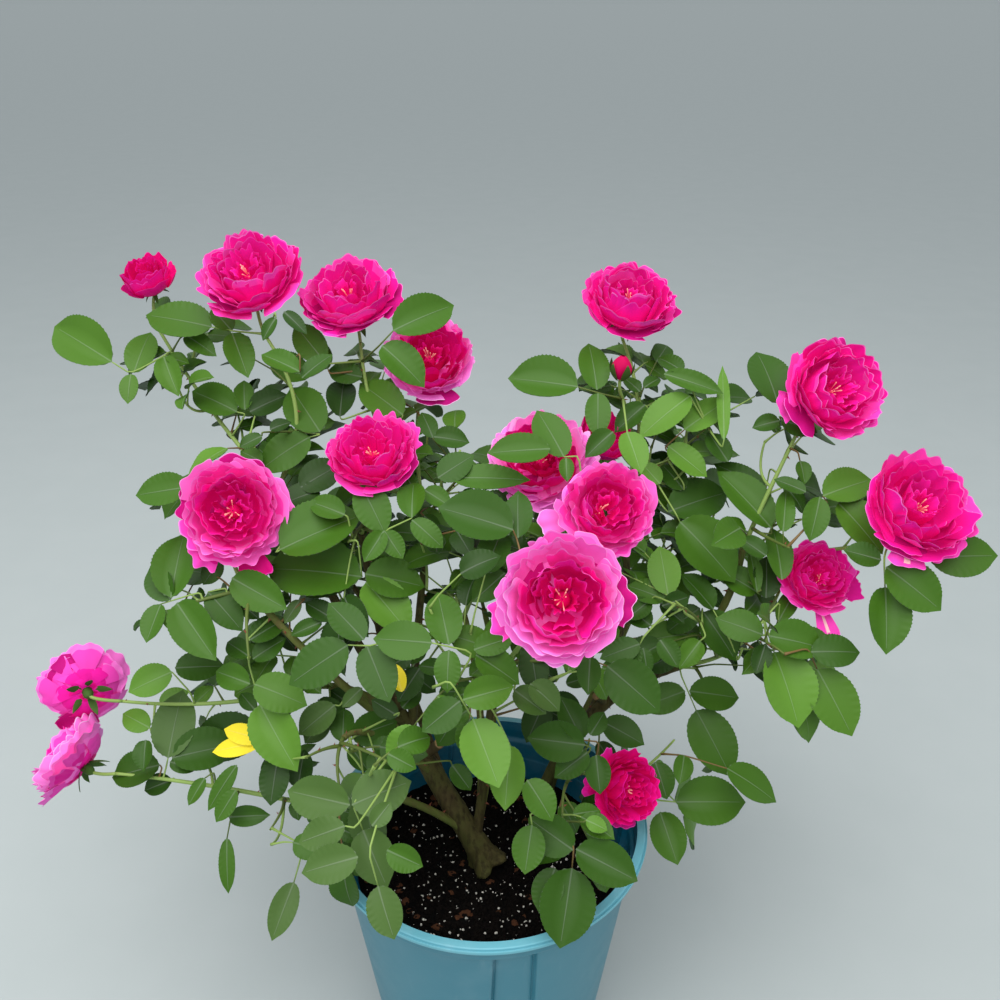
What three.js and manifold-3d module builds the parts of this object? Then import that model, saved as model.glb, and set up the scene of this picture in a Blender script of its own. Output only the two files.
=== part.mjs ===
// A rose bush in full bloom, in its round fluted pot.
// Millimetres, +Z up, +X to the right of someone who looks along +Y.
// The origin is the middle of the pot's flat underside.
//
// A short leaning trunk and one stem of its own rise out of the soil. Boughs fork from them, and each bough
// ends where its mass of leaves begins. A mass is one solid: three-sided shoots that branch from one stem,
// with compound leaves set along them by a seeded rule. Each bloom is one solid with its stalk, and the
// stalk stands on the tip of the shoot that carries it.

import * as THREE from 'three';
import { mergeVertices } from 'three/addons/utils/BufferGeometryUtils.js';
import Module from 'manifold-3d';

const wasm = await Module();
wasm.setup();

// The gap that is kept between two pieces that touch
const GAP = 0.3;

// Pot: a 30 cm nursery pot with a stepped rim over a recessed collar, and four flutes down its wall
const POT = {
  height: 270,
  rimRadius: 150,
  rimBand: 9.5,
  lipHeight: 6,
  underRimRadius: 147,
  collarRadius: 141.5,
  collarTop: 261,
  wallTop: 248,
  wallTopRadius: 138.5,
  baseRadius: 106,
  thickness: 2.8,
  // How far up or down a step in the wall runs out
  stepRise: 0.5,
  ledgeRise: 3,
};
const FLUTE = {
  count: 4,
  firstAngle: -80,
  depth: 4,
  halfWidthDeg: 9.5,
  sideDeg: 1.2,
  bottom: 14,
  footRise: 4,
};
// Steps round the pot between one flute and the next
const STEPS_BETWEEN_FLUTES = 6;

const SOIL_TOP = 210;

// Trunk, stem and boughs. Each is one tapering limb through three places: where it leaves its parent
// (a share of the parent's length, or a foot on the soil), halfway, and its tip.
const FOOT = SOIL_TOP + GAP;
const LIMBS = {
  trunk: { foot: [0, 0, FOOT], via: [-42, 19, 284], tip: [-85, 45, 358], radii: [12.5, 8], flare: 6.5 },
  stem_right: { foot: [52, 72, FOOT], via: [100, 85, 318], tip: [184, 80, 386], radii: [8, 5], flare: 3 },
  bough_up_left: { on: 'trunk', at: 0.97, via: [-140, 70, 466], tip: [-175, 100, 550], radii: [5, 3.2] },
  bough_up_mid: { on: 'trunk', at: 0.99, via: [-102, 62, 460], tip: [-110, 62, 540], radii: [4.5, 3] },
  bough_up_right: { on: 'trunk', at: 0.85, via: [-66, 75, 425], tip: [-56, 120, 515], radii: [4.5, 3] },
  bough_left_front: { on: 'trunk', at: 0.8, via: [-140, 10, 430], tip: [-198, 20, 500], radii: [4.2, 2.8] },
  bough_left_low: { on: 'trunk', at: 0.9, via: [-130, 48, 382], tip: [-187, 36, 386], radii: [4.2, 2.6] },
  bough_low_left: { on: 'trunk', at: 0.2, via: [-94, -8, 304], tip: [-172, -15, 302], radii: [4, 2.6] },
  bough_front_left: { on: 'trunk', at: 0.6, via: [-95, -8, 372], tip: [-122, -38, 396], radii: [3.6, 2.4] },
  bough_centre: { on: 'trunk', at: 0.14, via: [-2, 10, 325], tip: [5, -18, 436], radii: [5, 3] },
  bough_centre_back: { on: 'bough_centre', at: 0.25, via: [-8, 55, 360], tip: [-22, 88, 438], radii: [4, 2.8] },
  bough_right_up: { on: 'stem_right', at: 0.5, via: [132, 115, 415], tip: [128, 130, 515], radii: [4.5, 3] },
  bough_right_far: { on: 'stem_right', at: 0.93, via: [213, 76, 440], tip: [232, 80, 515], radii: [4.2, 3] },
  bough_right_low: { on: 'stem_right', at: 0.26, via: [80, 40, 308], tip: [86, 2, 322], radii: [3.6, 2.4] },
  bough_back_left: { on: 'trunk', at: 0.45, via: [-90, 115, 360], tip: [-145, 180, 420], radii: [4.5, 2.8] },
  bough_back_mid: { on: 'bough_centre', at: 0.12, via: [5, 100, 325], tip: [-5, 170, 392], radii: [4, 2.8] },
  bough_back_right: { on: 'stem_right', at: 0.3, via: [125, 140, 345], tip: [165, 188, 415], radii: [4.2, 2.8] },
};
const LIMB_SIDES = 5;
const LIMB_STEPS = 5;
// The share of a limb that its root flare takes, and the foot radius from which a limb has brown bark
const FLARE_REACH = 0.16;
const BARK_FROM_RADIUS = 4.4;
// Room between a limb and the side of the limb that carries it
const FORK_GAP = 1.3 * GAP;

// Blooms: the middle, the width and the way each faces. A closed one is a bud.
const BLOOMS = {
  bloom_top_far_left: { at: [-314, 207, 732], width: 48, faces: [-0.15, -0.35, 0.92] },
  bloom_top_left: { at: [-211, 161, 751], width: 90, faces: [-0.1, -0.6, 0.8] },
  bloom_top_mid: { at: [-126, 177, 729], width: 88, faces: [-0.1, -0.45, 0.9] },
  bloom_behind_leaves: { at: [-53, 178, 668], width: 88, faces: [0.1, -0.62, 0.78] },
  bloom_mid_left: { at: [-97, 67, 621], width: 80, faces: [0, -0.45, 0.9] },
  bloom_front_left: { at: [-212, 30, 580], width: 92, faces: [0.15, -0.85, 0.5] },
  bloom_top_right: { at: [131, 182, 723], width: 86, faces: [0.1, -0.5, 0.86] },
  bud_top_right: { at: [120, 137, 667], width: 20, faces: [0.05, -0.1, 1], closed: true },
  bloom_centre_back: { at: [47, 93, 602], width: 92, faces: [-0.1, -0.6, 0.8] },
  bloom_small_centre: { at: [108, 140, 600], width: 50, faces: [0.25, -0.4, 0.9] },
  bloom_centre_upper: { at: [92, 4, 595], width: 92, faces: [0.05, -0.75, 0.66] },
  bloom_centre_front: { at: [56, -109, 581], width: 94, faces: [-0.04, -0.82, 0.58] },
  bloom_right_upper: { at: [295, 80, 669], width: 90, faces: [0.25, -0.8, 0.55] },
  bloom_far_right: { at: [353, 7, 599], width: 92, faces: [0.12, -0.62, 0.78] },
  bloom_right_mid: { at: [300, 56, 496], width: 78, faces: [-0.1, -0.85, 0.5] },
  bloom_low_right: { at: [128, -38, 338], width: 66, faces: [0.72, -0.6, 0.35] },
  bloom_low_left: { at: [-381, 54, 388], width: 80, faces: [-0.5, 0.82, -0.1] },
  bloom_lowest_left: { at: [-391, 8, 341], width: 80, faces: [-0.82, 0.25, 0.5] },
};
// Rings of an open bloom, from its hip up over the ruffled rim and down into the cup:
// radius and height as shares of its width, and how far the ring is ruffled
const OPEN_RINGS = [
  [0.05, -0.42, 0],
  [0.08, -0.34, 0],
  [0.3, -0.24, 0.02],
  [0.5, -0.04, 0.05],
  [0.43, 0.1, 0.045],
  [0.25, 0.14, 0.03],
  [0.12, 0.05, 0.01],
];
const BUD_RINGS = [
  [0.22, -0.6, 0],
  [0.36, -0.3, 0],
  [0.5, 0.1, 0],
  [0.36, 0.5, 0],
];
const BLOOM_SIDES = 8;
const BLOOM_TOP = 0.08;
const BUD_TOP = 0.8;
// A ruffle moves a ring's points up and down by its whole share, and in and out by this part of it
const RUFFLE_OUT = 0.6;

// Masses of leaves. The first shoot of each goes on from its bough's tip, and the others fork from an
// earlier shoot of the same mass. A shoot with a bloom ends at that bloom's stalk.
const MASSES = [
  { name: 'leaves_top_left', bough: 'bough_up_left', shoots: [
    { via: [-248, 160, 602], tip: [-312, 203, 688], bloom: 'bloom_top_far_left' },
    { on: 0, at: 0.12, via: [-172, 130, 625], tip: [-200, 158, 692], bloom: 'bloom_top_left' },
    { on: 0, at: 0.06, via: [-212, 80, 575], tip: [-245, 62, 592] },
  ] },
  { name: 'leaves_top_mid', bough: 'bough_up_right', shoots: [
    { via: [-66, 150, 565], tip: [-66, 185, 615], bloom: 'bloom_behind_leaves' },
    { on: 0, at: 0.15, via: [-100, 150, 600], tip: [-118, 185, 675], bloom: 'bloom_top_mid' },
    { on: 0, at: 0.08, via: [-40, 120, 550], tip: [-22, 118, 572] },
  ] },
  { name: 'leaves_mid_left', bough: 'bough_up_mid', shoots: [
    { via: [-106, 66, 556], tip: [-100, 76, 576], bloom: 'bloom_mid_left' },
    { on: 0, at: 0.1, via: [-145, 50, 560], tip: [-172, 48, 590] },
    { on: 0, at: 0.2, via: [-75, 30, 550], tip: [-52, 5, 560] },
    { on: 0, at: 0.3, via: [-120, 20, 548], tip: [-130, -15, 540] },
  ] },
  { name: 'leaves_front_left', bough: 'bough_left_front', shoots: [
    { via: [-216, 36, 516], tip: [-224, 50, 542], bloom: 'bloom_front_left' },
    { on: 0, at: 0.1, via: [-196, -25, 500], tip: [-186, -62, 462] },
    { on: 0, at: 0.2, via: [-245, 12, 502], tip: [-262, 18, 490] },
  ] },
  { name: 'leaves_left', bough: 'bough_left_low', shoots: [
    { via: [-262, 34, 376], tip: [-336, 30, 382], bloom: 'bloom_low_left' },
    { on: 0, at: 0.1, via: [-210, 10, 400], tip: [-232, -10, 420] },
  ] },
  { name: 'leaves_low_left', bough: 'bough_low_left', shoots: [
    { via: [-258, -10, 318], tip: [-340, -4, 326], bloom: 'bloom_lowest_left' },
    { on: 0, at: 0.08, via: [-185, -40, 310], tip: [-198, -62, 300] },
  ] },
  { name: 'leaves_low_front_left', bough: 'bough_front_left', shoots: [
    { via: [-124, -66, 384], tip: [-114, -88, 350] },
    { on: 0, at: 0.15, via: [-140, -60, 400], tip: [-160, -80, 400] },
    { on: 0, at: 0.1, via: [-100, -70, 410], tip: [-70, -95, 415] },
  ] },
  { name: 'leaves_centre_front', bough: 'bough_centre', shoots: [
    { via: [24, -42, 488], tip: [44, -70, 535], bloom: 'bloom_centre_front' },
    { on: 0, at: 0.15, via: [-16, -55, 470], tip: [-40, -85, 485] },
    { on: 0, at: 0.3, via: [58, -50, 485], tip: [86, -65, 488] },
    { on: 0, at: 0.1, via: [-30, -10, 478], tip: [-62, -25, 505] },
  ] },
  { name: 'leaves_centre_back', bough: 'bough_centre_back', shoots: [
    { via: [6, 98, 500], tip: [42, 116, 552], bloom: 'bloom_centre_back' },
    { on: 0, at: 0.25, via: [45, 55, 510], tip: [84, 34, 545], bloom: 'bloom_centre_upper' },
    { on: 0, at: 0.15, via: [-45, 60, 480], tip: [-58, 40, 500] },
  ] },
  { name: 'leaves_top_right', bough: 'bough_right_up', shoots: [
    { via: [142, 156, 600], tip: [128, 200, 672], bloom: 'bloom_top_right' },
    { on: 0, at: 0.15, via: [136, 158, 590], tip: [124, 148, 634], bloom: 'bud_top_right' },
    { on: 0, at: 0.2, via: [172, 140, 580], tip: [202, 138, 610] },
    { on: 0, at: 0.1, via: [114, 144, 548], tip: [101, 152, 570], bloom: 'bloom_small_centre' },
  ] },
  { name: 'leaves_far_right', bough: 'bough_right_far', shoots: [
    { via: [250, 85, 570], tip: [280, 108, 632], bloom: 'bloom_right_upper' },
    { on: 0, at: 0.1, via: [288, 50, 528], tip: [342, 30, 552], bloom: 'bloom_far_right' },
    { on: 0, at: 0.2, via: [255, 30, 545], tip: [275, -5, 555] },
  ] },
  { name: 'leaves_mid_right', bough: 'stem_right', shoots: [
    { via: [236, 68, 418], tip: [272, 84, 468], bloom: 'bloom_right_mid' },
    { on: 0, at: 0.1, via: [205, 60, 380], tip: [208, 52, 358] },
    { on: 0, at: 0.4, via: [230, 20, 460], tip: [250, -20, 470] },
    { on: 0, at: 0.3, via: [190, 35, 465], tip: [160, 10, 500] },
  ] },
  { name: 'leaves_low_right', bough: 'bough_right_low', shoots: [
    { via: [84, -16, 338], tip: [92, -30, 348], bloom: 'bloom_low_right' },
    { on: 0, at: 0.25, via: [68, -52, 356], tip: [64, -88, 350] },
    { on: 0, at: 0.1, via: [120, 10, 320], tip: [152, -4, 318] },
  ] },
  { name: 'leaves_back_left', bough: 'bough_back_left', shoots: [
    { via: [-180, 212, 460], tip: [-208, 236, 505] },
    { on: 0, at: 0.15, via: [-130, 220, 470], tip: [-118, 240, 530] },
    { on: 0, at: 0.1, via: [-200, 190, 420], tip: [-250, 200, 410] },
    { on: 0, at: 0.08, via: [-130, 215, 400], tip: [-115, 250, 380] },
  ] },
  { name: 'leaves_back_mid', bough: 'bough_back_mid', shoots: [
    { via: [-20, 205, 445], tip: [-30, 232, 500] },
    { on: 0, at: 0.15, via: [25, 200, 430], tip: [50, 215, 475] },
    { on: 0, at: 0.1, via: [0, 215, 395], tip: [10, 250, 375] },
  ] },
  { name: 'leaves_back_right', bough: 'bough_back_right', shoots: [
    { via: [200, 210, 455], tip: [228, 226, 505] },
    { on: 0, at: 0.15, via: [160, 220, 465], tip: [150, 238, 520] },
    { on: 0, at: 0.1, via: [215, 185, 415], tip: [258, 190, 425] },
    { on: 0, at: 0.08, via: [155, 220, 395], tip: [140, 250, 370] },
  ] },
];
// A forked shoot is slim enough for its foot to lie inside the shoot that carries it
const SHOOT_RADII = [2.8, 1.7];
const FORK_RADII = [1.2, 1.3];
const STALK_RADIUS = 1.6;
const SHOOT_SIDES = 3;
const STALK_SIDES = 4;
const STALK_STEPS = 3;
// How a bloom's stalk bends: shares of its reach that it first runs on along the shoot and last runs into
// the bloom, and how deep it goes into the hip
const STALK_KNEE = 0.45;
const STALK_NECK = 0.2;
const SUNK_IN_HIP = 2;

// Leaves that give the crown its outline, set first: the mass and shoot they grow on, where along it,
// and the place that the end leaflet's tip reaches
const REACHING = [
  { mass: 'leaves_top_left', shoot: 0, at: 0.72, tip: [-409, 205, 686], pairs: 1 },
  { mass: 'leaves_top_left', shoot: 1, at: 0.8, tip: [-296, 150, 708], pairs: 1 },
  { mass: 'leaves_top_left', shoot: 2, at: 1, tip: [-302, 56, 580], pairs: 1 },
  { mass: 'leaves_top_mid', shoot: 1, at: 0.9, tip: [-22, 112, 716], pairs: 1 },
  { mass: 'leaves_top_mid', shoot: 2, at: 1, tip: [20, 105, 610], pairs: 1 },
  { mass: 'leaves_front_left', shoot: 2, at: 1, tip: [-310, 18, 472], pairs: 2 },
  { mass: 'leaves_front_left', shoot: 1, at: 1, tip: [-162, -80, 380], pairs: 2 },
  { mass: 'leaves_left', shoot: 0, at: 0.35, tip: [-290, -25, 345], pairs: 2 },
  { mass: 'leaves_left', shoot: 0, at: 0.5, tip: [-325, 10, 430], pairs: 2 },
  { mass: 'leaves_low_left', shoot: 0, at: 0.5, tip: [-245, -40, 222], pairs: 2 },
  { mass: 'leaves_low_left', shoot: 1, at: 1, tip: [-200, -85, 188], pairs: 2 },
  { mass: 'leaves_low_front_left', shoot: 0, at: 1, tip: [-78, -158, 283], pairs: 2 },
  { mass: 'leaves_low_front_left', shoot: 0, at: 0.5, tip: [-180, -110, 318], pairs: 2 },
  { mass: 'leaves_centre_front', shoot: 1, at: 1, tip: [2, -115, 398], pairs: 1 },
  { mass: 'leaves_centre_front', shoot: 2, at: 1, tip: [140, -80, 440], pairs: 1 },
  { mass: 'leaves_centre_front', shoot: 3, at: 0.6, tip: [-20, -80, 570], pairs: 1 },
  { mass: 'leaves_mid_left', shoot: 3, at: 1, tip: [-155, -80, 468], pairs: 2 },
  { mass: 'leaves_top_right', shoot: 0, at: 0.7, tip: [22, 128, 661], pairs: 1 },
  { mass: 'leaves_top_right', shoot: 2, at: 1, tip: [268, 130, 660], pairs: 2 },
  { mass: 'leaves_centre_back', shoot: 1, at: 0.6, tip: [-5, 18, 634], pairs: 1 },
  { mass: 'leaves_far_right', shoot: 0, at: 0.72, tip: [226, 76, 708], pairs: 1 },
  { mass: 'leaves_far_right', shoot: 1, at: 0.95, tip: [416, -10, 545], pairs: 1 },
  { mass: 'leaves_far_right', shoot: 1, at: 0.75, tip: [352, -40, 498], pairs: 1 },
  { mass: 'leaves_mid_right', shoot: 2, at: 1, tip: [268, -60, 412], pairs: 1 },
  { mass: 'leaves_mid_right', shoot: 2, at: 0.7, tip: [318, -40, 420], pairs: 1 },
  { mass: 'leaves_mid_right', shoot: 1, at: 1, tip: [224, 45, 280], pairs: 1 },
  { mass: 'leaves_low_right', shoot: 2, at: 1, tip: [231, -22, 313], pairs: 1 },
  { mass: 'leaves_low_right', shoot: 1, at: 1, tip: [54, -164, 290], pairs: 2 },
];

// Growth rule: how leaves follow one another along a shoot, and how each is laid out.
// The shares are of the length of the end leaflet.
const INTERNODE = 43;
const BARE_FOOT = 14;
const BARE_UNDER_BLOOM = 26;
const GOLDEN_ANGLE = 2.39996;
const LEAF_TRIES = 4;
const LEAF_LENGTH = [50, 68];
const MOST_LEAF_LENGTH = 70;
const FIVE_LEAFLETS = 0.7;
const LEAF_LEAN = [0.35, 0.75];
const PETIOLE = 0.45;
const PAIR_GAP = 0.5;
const END_GAP = 0.3;
const PAIR_SIZES = [0.78, 0.56];
const PAIR_ANGLES = [0.95, 1.25];
const LEAFLET_WIDTH = 0.9;
const WIDEST_AT = 0.42;
const LEAFLET_THICKNESS = 1.8;
const STALK_OF_LEAF = 1.1;
const STALK_FLATNESS = 0.6;
const STALK_TAPER = 0.8;
// How far a leaf's stalk is sunk in its shoot, and half the length that a side leaflet takes of its stalk
const SUNK_IN_SHOOT = 0.6;
const LEAFLET_ROOT = 2;
// Leaves face up, a little to the side the light comes from, and outwards
const UP = [0, 0, 0.9];
const LIGHT_FROM = [0, -0.3, 0];
const OUTWARD_TILT = 0.6;
const TILT_JITTER = 0.5;
const DROOP = 0.22;
const STALK_DROOP = 0.3;
const SIDE_DROOP = 0.6;
const REACHING_LIFT = 0.06;
const SEED = 20;
const SEED_STEP = 1664525;
const SEED_SHIFT = 1013904223;
const SEED_RANGE = 4294967296;

// Room that a place on a leaf, a leaf's stalk or a limb keeps round itself
const LEAF_ROOM = 6.5;
const TWIG_ROOM = 3.5;
const BLOOM_ROOM = 0.52;
const RIM_ROOM = 10;
const TWIG_STEP = 8;
const CELL = 60;

// Plain vector arithmetic on [x, y, z]
const add = (a, b) => [a[0] + b[0], a[1] + b[1], a[2] + b[2]];
const sub = (a, b) => [a[0] - b[0], a[1] - b[1], a[2] - b[2]];
const mul = (a, k) => [a[0] * k, a[1] * k, a[2] * k];
const dot = (a, b) => a[0] * b[0] + a[1] * b[1] + a[2] * b[2];
const cross = (a, b) => [
  a[1] * b[2] - a[2] * b[1],
  a[2] * b[0] - a[0] * b[2],
  a[0] * b[1] - a[1] * b[0],
];
const size = (a) => Math.sqrt(dot(a, a));
const unit = (a) => mul(a, 1 / size(a));
const square = (a, along) => unit(sub(a, mul(along, dot(a, along))));

function seeded(seed) {
  let state = seed;
  return () => {
    state = (state * SEED_STEP + SEED_SHIFT) % SEED_RANGE;
    return state / SEED_RANGE;
  };
}

// A bend through three places
function bend(start, via, end) {
  const pull = sub(mul(via, 2), mul(add(start, end), 0.5));
  return (t) => add(add(mul(start, (1 - t) * (1 - t)), mul(pull, 2 * t * (1 - t))), mul(end, t * t));
}

function heading(path, t) {
  const step = 0.01;
  return unit(sub(path(Math.min(1, t + step)), path(Math.max(0, t - step))));
}

function along(path, steps) {
  return Array.from({ length: steps + 1 }, (_, i) => path(i / steps));
}

function pathLength(path) {
  return size(sub(path(0.5), path(0))) + size(sub(path(1), path(0.5)));
}

function spaced(path, step) {
  return along(path, Math.max(1, Math.ceil(pathLength(path) / step)));
}

// Solids
function toSolid(geometry) {
  const plain = geometry.clone();
  plain.deleteAttribute('normal');
  plain.deleteAttribute('uv');
  const merged = mergeVertices(plain);
  return new wasm.Manifold(new wasm.Mesh({
    numProp: 3,
    vertProperties: new Float32Array(merged.attributes.position.array),
    triVerts: new Uint32Array(merged.index.array),
  }));
}

function toGeometry(solid) {
  const mesh = solid.getMesh();
  const geometry = new THREE.BufferGeometry();
  geometry.setAttribute('position', new THREE.BufferAttribute(new Float32Array(mesh.vertProperties), 3));
  geometry.setIndex(new THREE.BufferAttribute(new Uint32Array(mesh.triVerts), 1));
  geometry.computeVertexNormals();
  return geometry;
}

// The one body of a solid that counts, without loose scraps and with sealed hollows filled
function wholeBody(solid) {
  const bodies = solid.decompose();
  return bodies.reduce((best, body) => (body.volume() > best.volume() ? body : best));
}

// Slivers finer than this are smoothed away where solids are fused
const SLIVER = 0.01;

function fuse(solids) {
  return wholeBody(solids.reduce((whole, solid) => whole.add(solid))).simplify(SLIVER);
}

// A closed skin over rings of places, each ring seen anticlockwise from its far end
function skin(rings) {
  const sides = rings[0].length;
  const places = rings.flat();
  const first = places.push(mul(rings[0].reduce(add), 1 / sides)) - 1;
  const last = places.push(mul(rings[rings.length - 1].reduce(add), 1 / sides)) - 1;
  return closeRings(places, rings.length, sides, first, last);
}

function closeRings(places, ringCount, sides, first, last) {
  const faces = [];
  const end = (ringCount - 1) * sides;
  for (let side = 0; side < sides; side += 1) {
    const next = (side + 1) % sides;
    faces.push(first, next, side);
    faces.push(last, end + side, end + next);
    for (let ring = 0; ring < ringCount - 1; ring += 1) {
      const low = ring * sides;
      const high = low + sides;
      faces.push(low + side, low + next, high + next);
      faces.push(low + side, high + next, high + side);
    }
  }
  const geometry = new THREE.BufferGeometry();
  geometry.setAttribute('position', new THREE.Float32BufferAttribute(places.flat(), 3));
  geometry.setIndex(faces);
  return geometry;
}

function ring(centre, facing, towards, radius, sides) {
  const right = square(towards, facing);
  const up = cross(facing, right);
  return Array.from({ length: sides }, (_, i) => {
    const turn = (i / sides) * Math.PI * 2;
    return add(centre, add(mul(right, radius * Math.cos(turn)), mul(up, radius * Math.sin(turn))));
  });
}

// A limb along a path. footFacing turns its foot's flat end, so that it lies against what carries it.
function limbSkin(path, radiusAt, sides, steps, footFacing) {
  const rings = along(path, steps).map((place, i) => {
    const facing = i === 0 && footFacing ? footFacing : heading(path, i / steps);
    const towards = Math.abs(facing[1]) < 0.9 ? [0, 1, 0] : [1, 0, 0];
    return ring(place, facing, towards, radiusAt(i / steps), sides);
  });
  return skin(rings);
}

// Limbs

function limbPaths() {
  const paths = {};
  for (const [name, limb] of Object.entries(LIMBS)) {
    const start = limb.foot ?? paths[limb.on](limb.at);
    paths[name] = bend(start, limb.via, limb.tip);
  }
  return paths;
}

function limbRadius(limb, t) {
  const flare = (limb.flare ?? 0) * Math.max(0, 1 - t / FLARE_REACH) ** 2;
  return limb.radii[0] + (limb.radii[1] - limb.radii[0]) * t + flare;
}

function limbSolid(limb, path, swell) {
  const footFacing = limb.foot ? [0, 0, 1] : undefined;
  const radius = (t) => limbRadius(limb, t) + swell;
  return toSolid(limbSkin(path, radius, LIMB_SIDES, LIMB_STEPS, footFacing));
}

// Each limb is cut clear of the limbs made before it, so that a fork sits on its parent's side.
function limbSolids(paths) {
  const solids = {};
  const swollen = [];
  for (const [name, limb] of Object.entries(LIMBS)) {
    const whole = limbSolid(limb, paths[name], 0);
    const cut = swollen.reduce((solid, other) => solid.subtract(other), whole);
    solids[name] = wholeBody(cut);
    swollen.push(limbSolid(limb, paths[name], FORK_GAP));
  }
  return solids;
}

// Shoots of every mass, and the stalks of the blooms that stand on them

function growShoots(paths) {
  const shoots = [];
  for (const mass of MASSES) {
    const bough = paths[mass.bough];
    const own = [];
    for (const row of mass.shoots) {
      const first = row.on === undefined;
      const facing = first ? heading(bough, 1) : undefined;
      const start = first ? add(bough(1), mul(facing, GAP)) : own[row.on].path(row.at);
      const shoot = { ...row, mass: mass.name, first, facing, path: bend(start, row.via, row.tip) };
      own.push(shoot);
      shoots.push(shoot);
    }
  }
  return shoots;
}

function bloomHip(bloom) {
  const lowest = bloom.closed ? BUD_RINGS[0][1] : OPEN_RINGS[0][1];
  return add(bloom.at, mul(unit(bloom.faces), lowest * bloom.width));
}

function stalkPath(shoot) {
  const facing = heading(shoot.path, 1);
  const foot = add(shoot.path(1), mul(facing, GAP));
  const bloom = BLOOMS[shoot.bloom];
  const hip = bloomHip(bloom);
  const reach = size(sub(hip, foot));
  const knee = add(foot, mul(facing, reach * STALK_KNEE));
  const neck = sub(hip, mul(unit(bloom.faces), reach * STALK_NECK));
  return bend(foot, mul(add(knee, neck), 0.5), add(hip, mul(unit(bloom.faces), SUNK_IN_HIP)));
}

// Places that are taken, kept in cells so that a new leaf looks only at what is near it

class Taken {
  constructor() {
    this.cells = new Map();
  }

  key(place) {
    return place.map((v) => Math.floor(v / CELL)).join(' ');
  }

  add(place, room, owner) {
    const key = this.key(place);
    if (!this.cells.has(key)) this.cells.set(key, []);
    this.cells.get(key).push({ place, room, owner });
  }

  meets(place, room, owner) {
    const [x, y, z] = place.map((v) => Math.floor(v / CELL));
    for (let i = x - 1; i <= x + 1; i += 1) {
      for (let j = y - 1; j <= y + 1; j += 1) {
        for (let k = z - 1; k <= z + 1; k += 1) {
          for (const other of this.cells.get(`${i} ${j} ${k}`) ?? []) {
            const near = other.owner !== owner && size(sub(other.place, place)) < other.room + room;
            if (near) return true;
          }
        }
      }
    }
    return false;
  }
}

// The crown's own space: clear of the pot's rim and wall, of the soil and of the floor
function outsideSpace(place) {
  const fromAxis = Math.sqrt(place[0] * place[0] + place[1] * place[1]);
  const overPot = place[2] > POT.height + RIM_ROOM;
  const besidePot = fromAxis > POT.rimRadius + RIM_ROOM;
  const inMouth = place[2] > SOIL_TOP + RIM_ROOM && fromAxis < POT.rimRadius - 3 * RIM_ROOM;
  return !(overPot || besidePot || inMouth);
}

// Places on a leaflet that stand for all of it
const LEAFLET_PLACES = [
  [0.14, 0],
  [0.3, 0.55],
  [0.3, -0.55],
  [0.5, 0],
  [0.5, 0.6],
  [0.5, -0.6],
  [0.72, 0.5],
  [0.72, -0.5],
  [0.92, 0],
];

function halfWidth(leaflet, share) {
  const rise = share < WIDEST_AT ? share / WIDEST_AT : (1 - share) / (1 - WIDEST_AT);
  return leaflet.width * 0.5 * rise;
}

function leafletPlaces(leaflet) {
  return LEAFLET_PLACES.map(([share, across]) => {
    const middle = add(leaflet.base, mul(leaflet.along, share * leaflet.length));
    return add(middle, mul(leaflet.side, across * halfWidth(leaflet, share)));
  });
}

function makeLeaflet(base, heads, normal, length) {
  const side = unit(cross(heads, normal));
  return { base, along: heads, side, normal: cross(side, heads), length, width: length * LEAFLET_WIDTH };
}

// Lays out one compound leaf: its stalk, the nodes with their pairs of side leaflets from the lowest up,
// and its end leaflet
function layLeaf(root, heads, facing, length, petiole, pairs) {
  const lifted = unit(add(heads, [0, 0, DROOP]));
  const knee = add(root, mul(lifted, petiole));
  const onward = unit(add(heads, [0, 0, -DROOP * STALK_DROOP]));
  const stalkLength = stalkShare(pairs) * length;
  const end = add(knee, mul(onward, stalkLength));
  const normal = square(facing, onward);
  const side = cross(onward, normal);
  const tipHeads = unit(add(onward, [0, 0, -DROOP]));
  const nodes = [];
  for (let pair = pairs - 1; pair >= 0; pair -= 1) {
    const place = sub(end, mul(onward, (END_GAP + PAIR_GAP * pair) * length));
    const spread = PAIR_ANGLES[pair];
    const [left, right] = [-1, 1].map((hand) => {
      const direction = add(mul(onward, Math.cos(spread)), mul(side, hand * Math.sin(spread)));
      const leafletHeads = unit(add(direction, [0, 0, -DROOP * SIDE_DROOP]));
      return makeLeaflet(place, leafletHeads, square(normal, leafletHeads), length * PAIR_SIZES[pair]);
    });
    nodes.push({ place, left, right });
  }
  const last = makeLeaflet(end, tipHeads, square(normal, tipHeads), length);
  return { root, knee, end, lifted, onward, normal, side, nodes, last };
}

function stalkShare(pairs) {
  return END_GAP + PAIR_GAP * (pairs - 1);
}

function stalkPlaces(leaf) {
  const places = [];
  for (const [from, to] of [[leaf.root, leaf.knee], [leaf.knee, leaf.end]]) {
    const steps = Math.ceil(size(sub(to, from)) / TWIG_STEP);
    for (let i = 1; i <= steps; i += 1) places.push(add(from, mul(sub(to, from), i / steps)));
  }
  return places;
}

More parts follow.
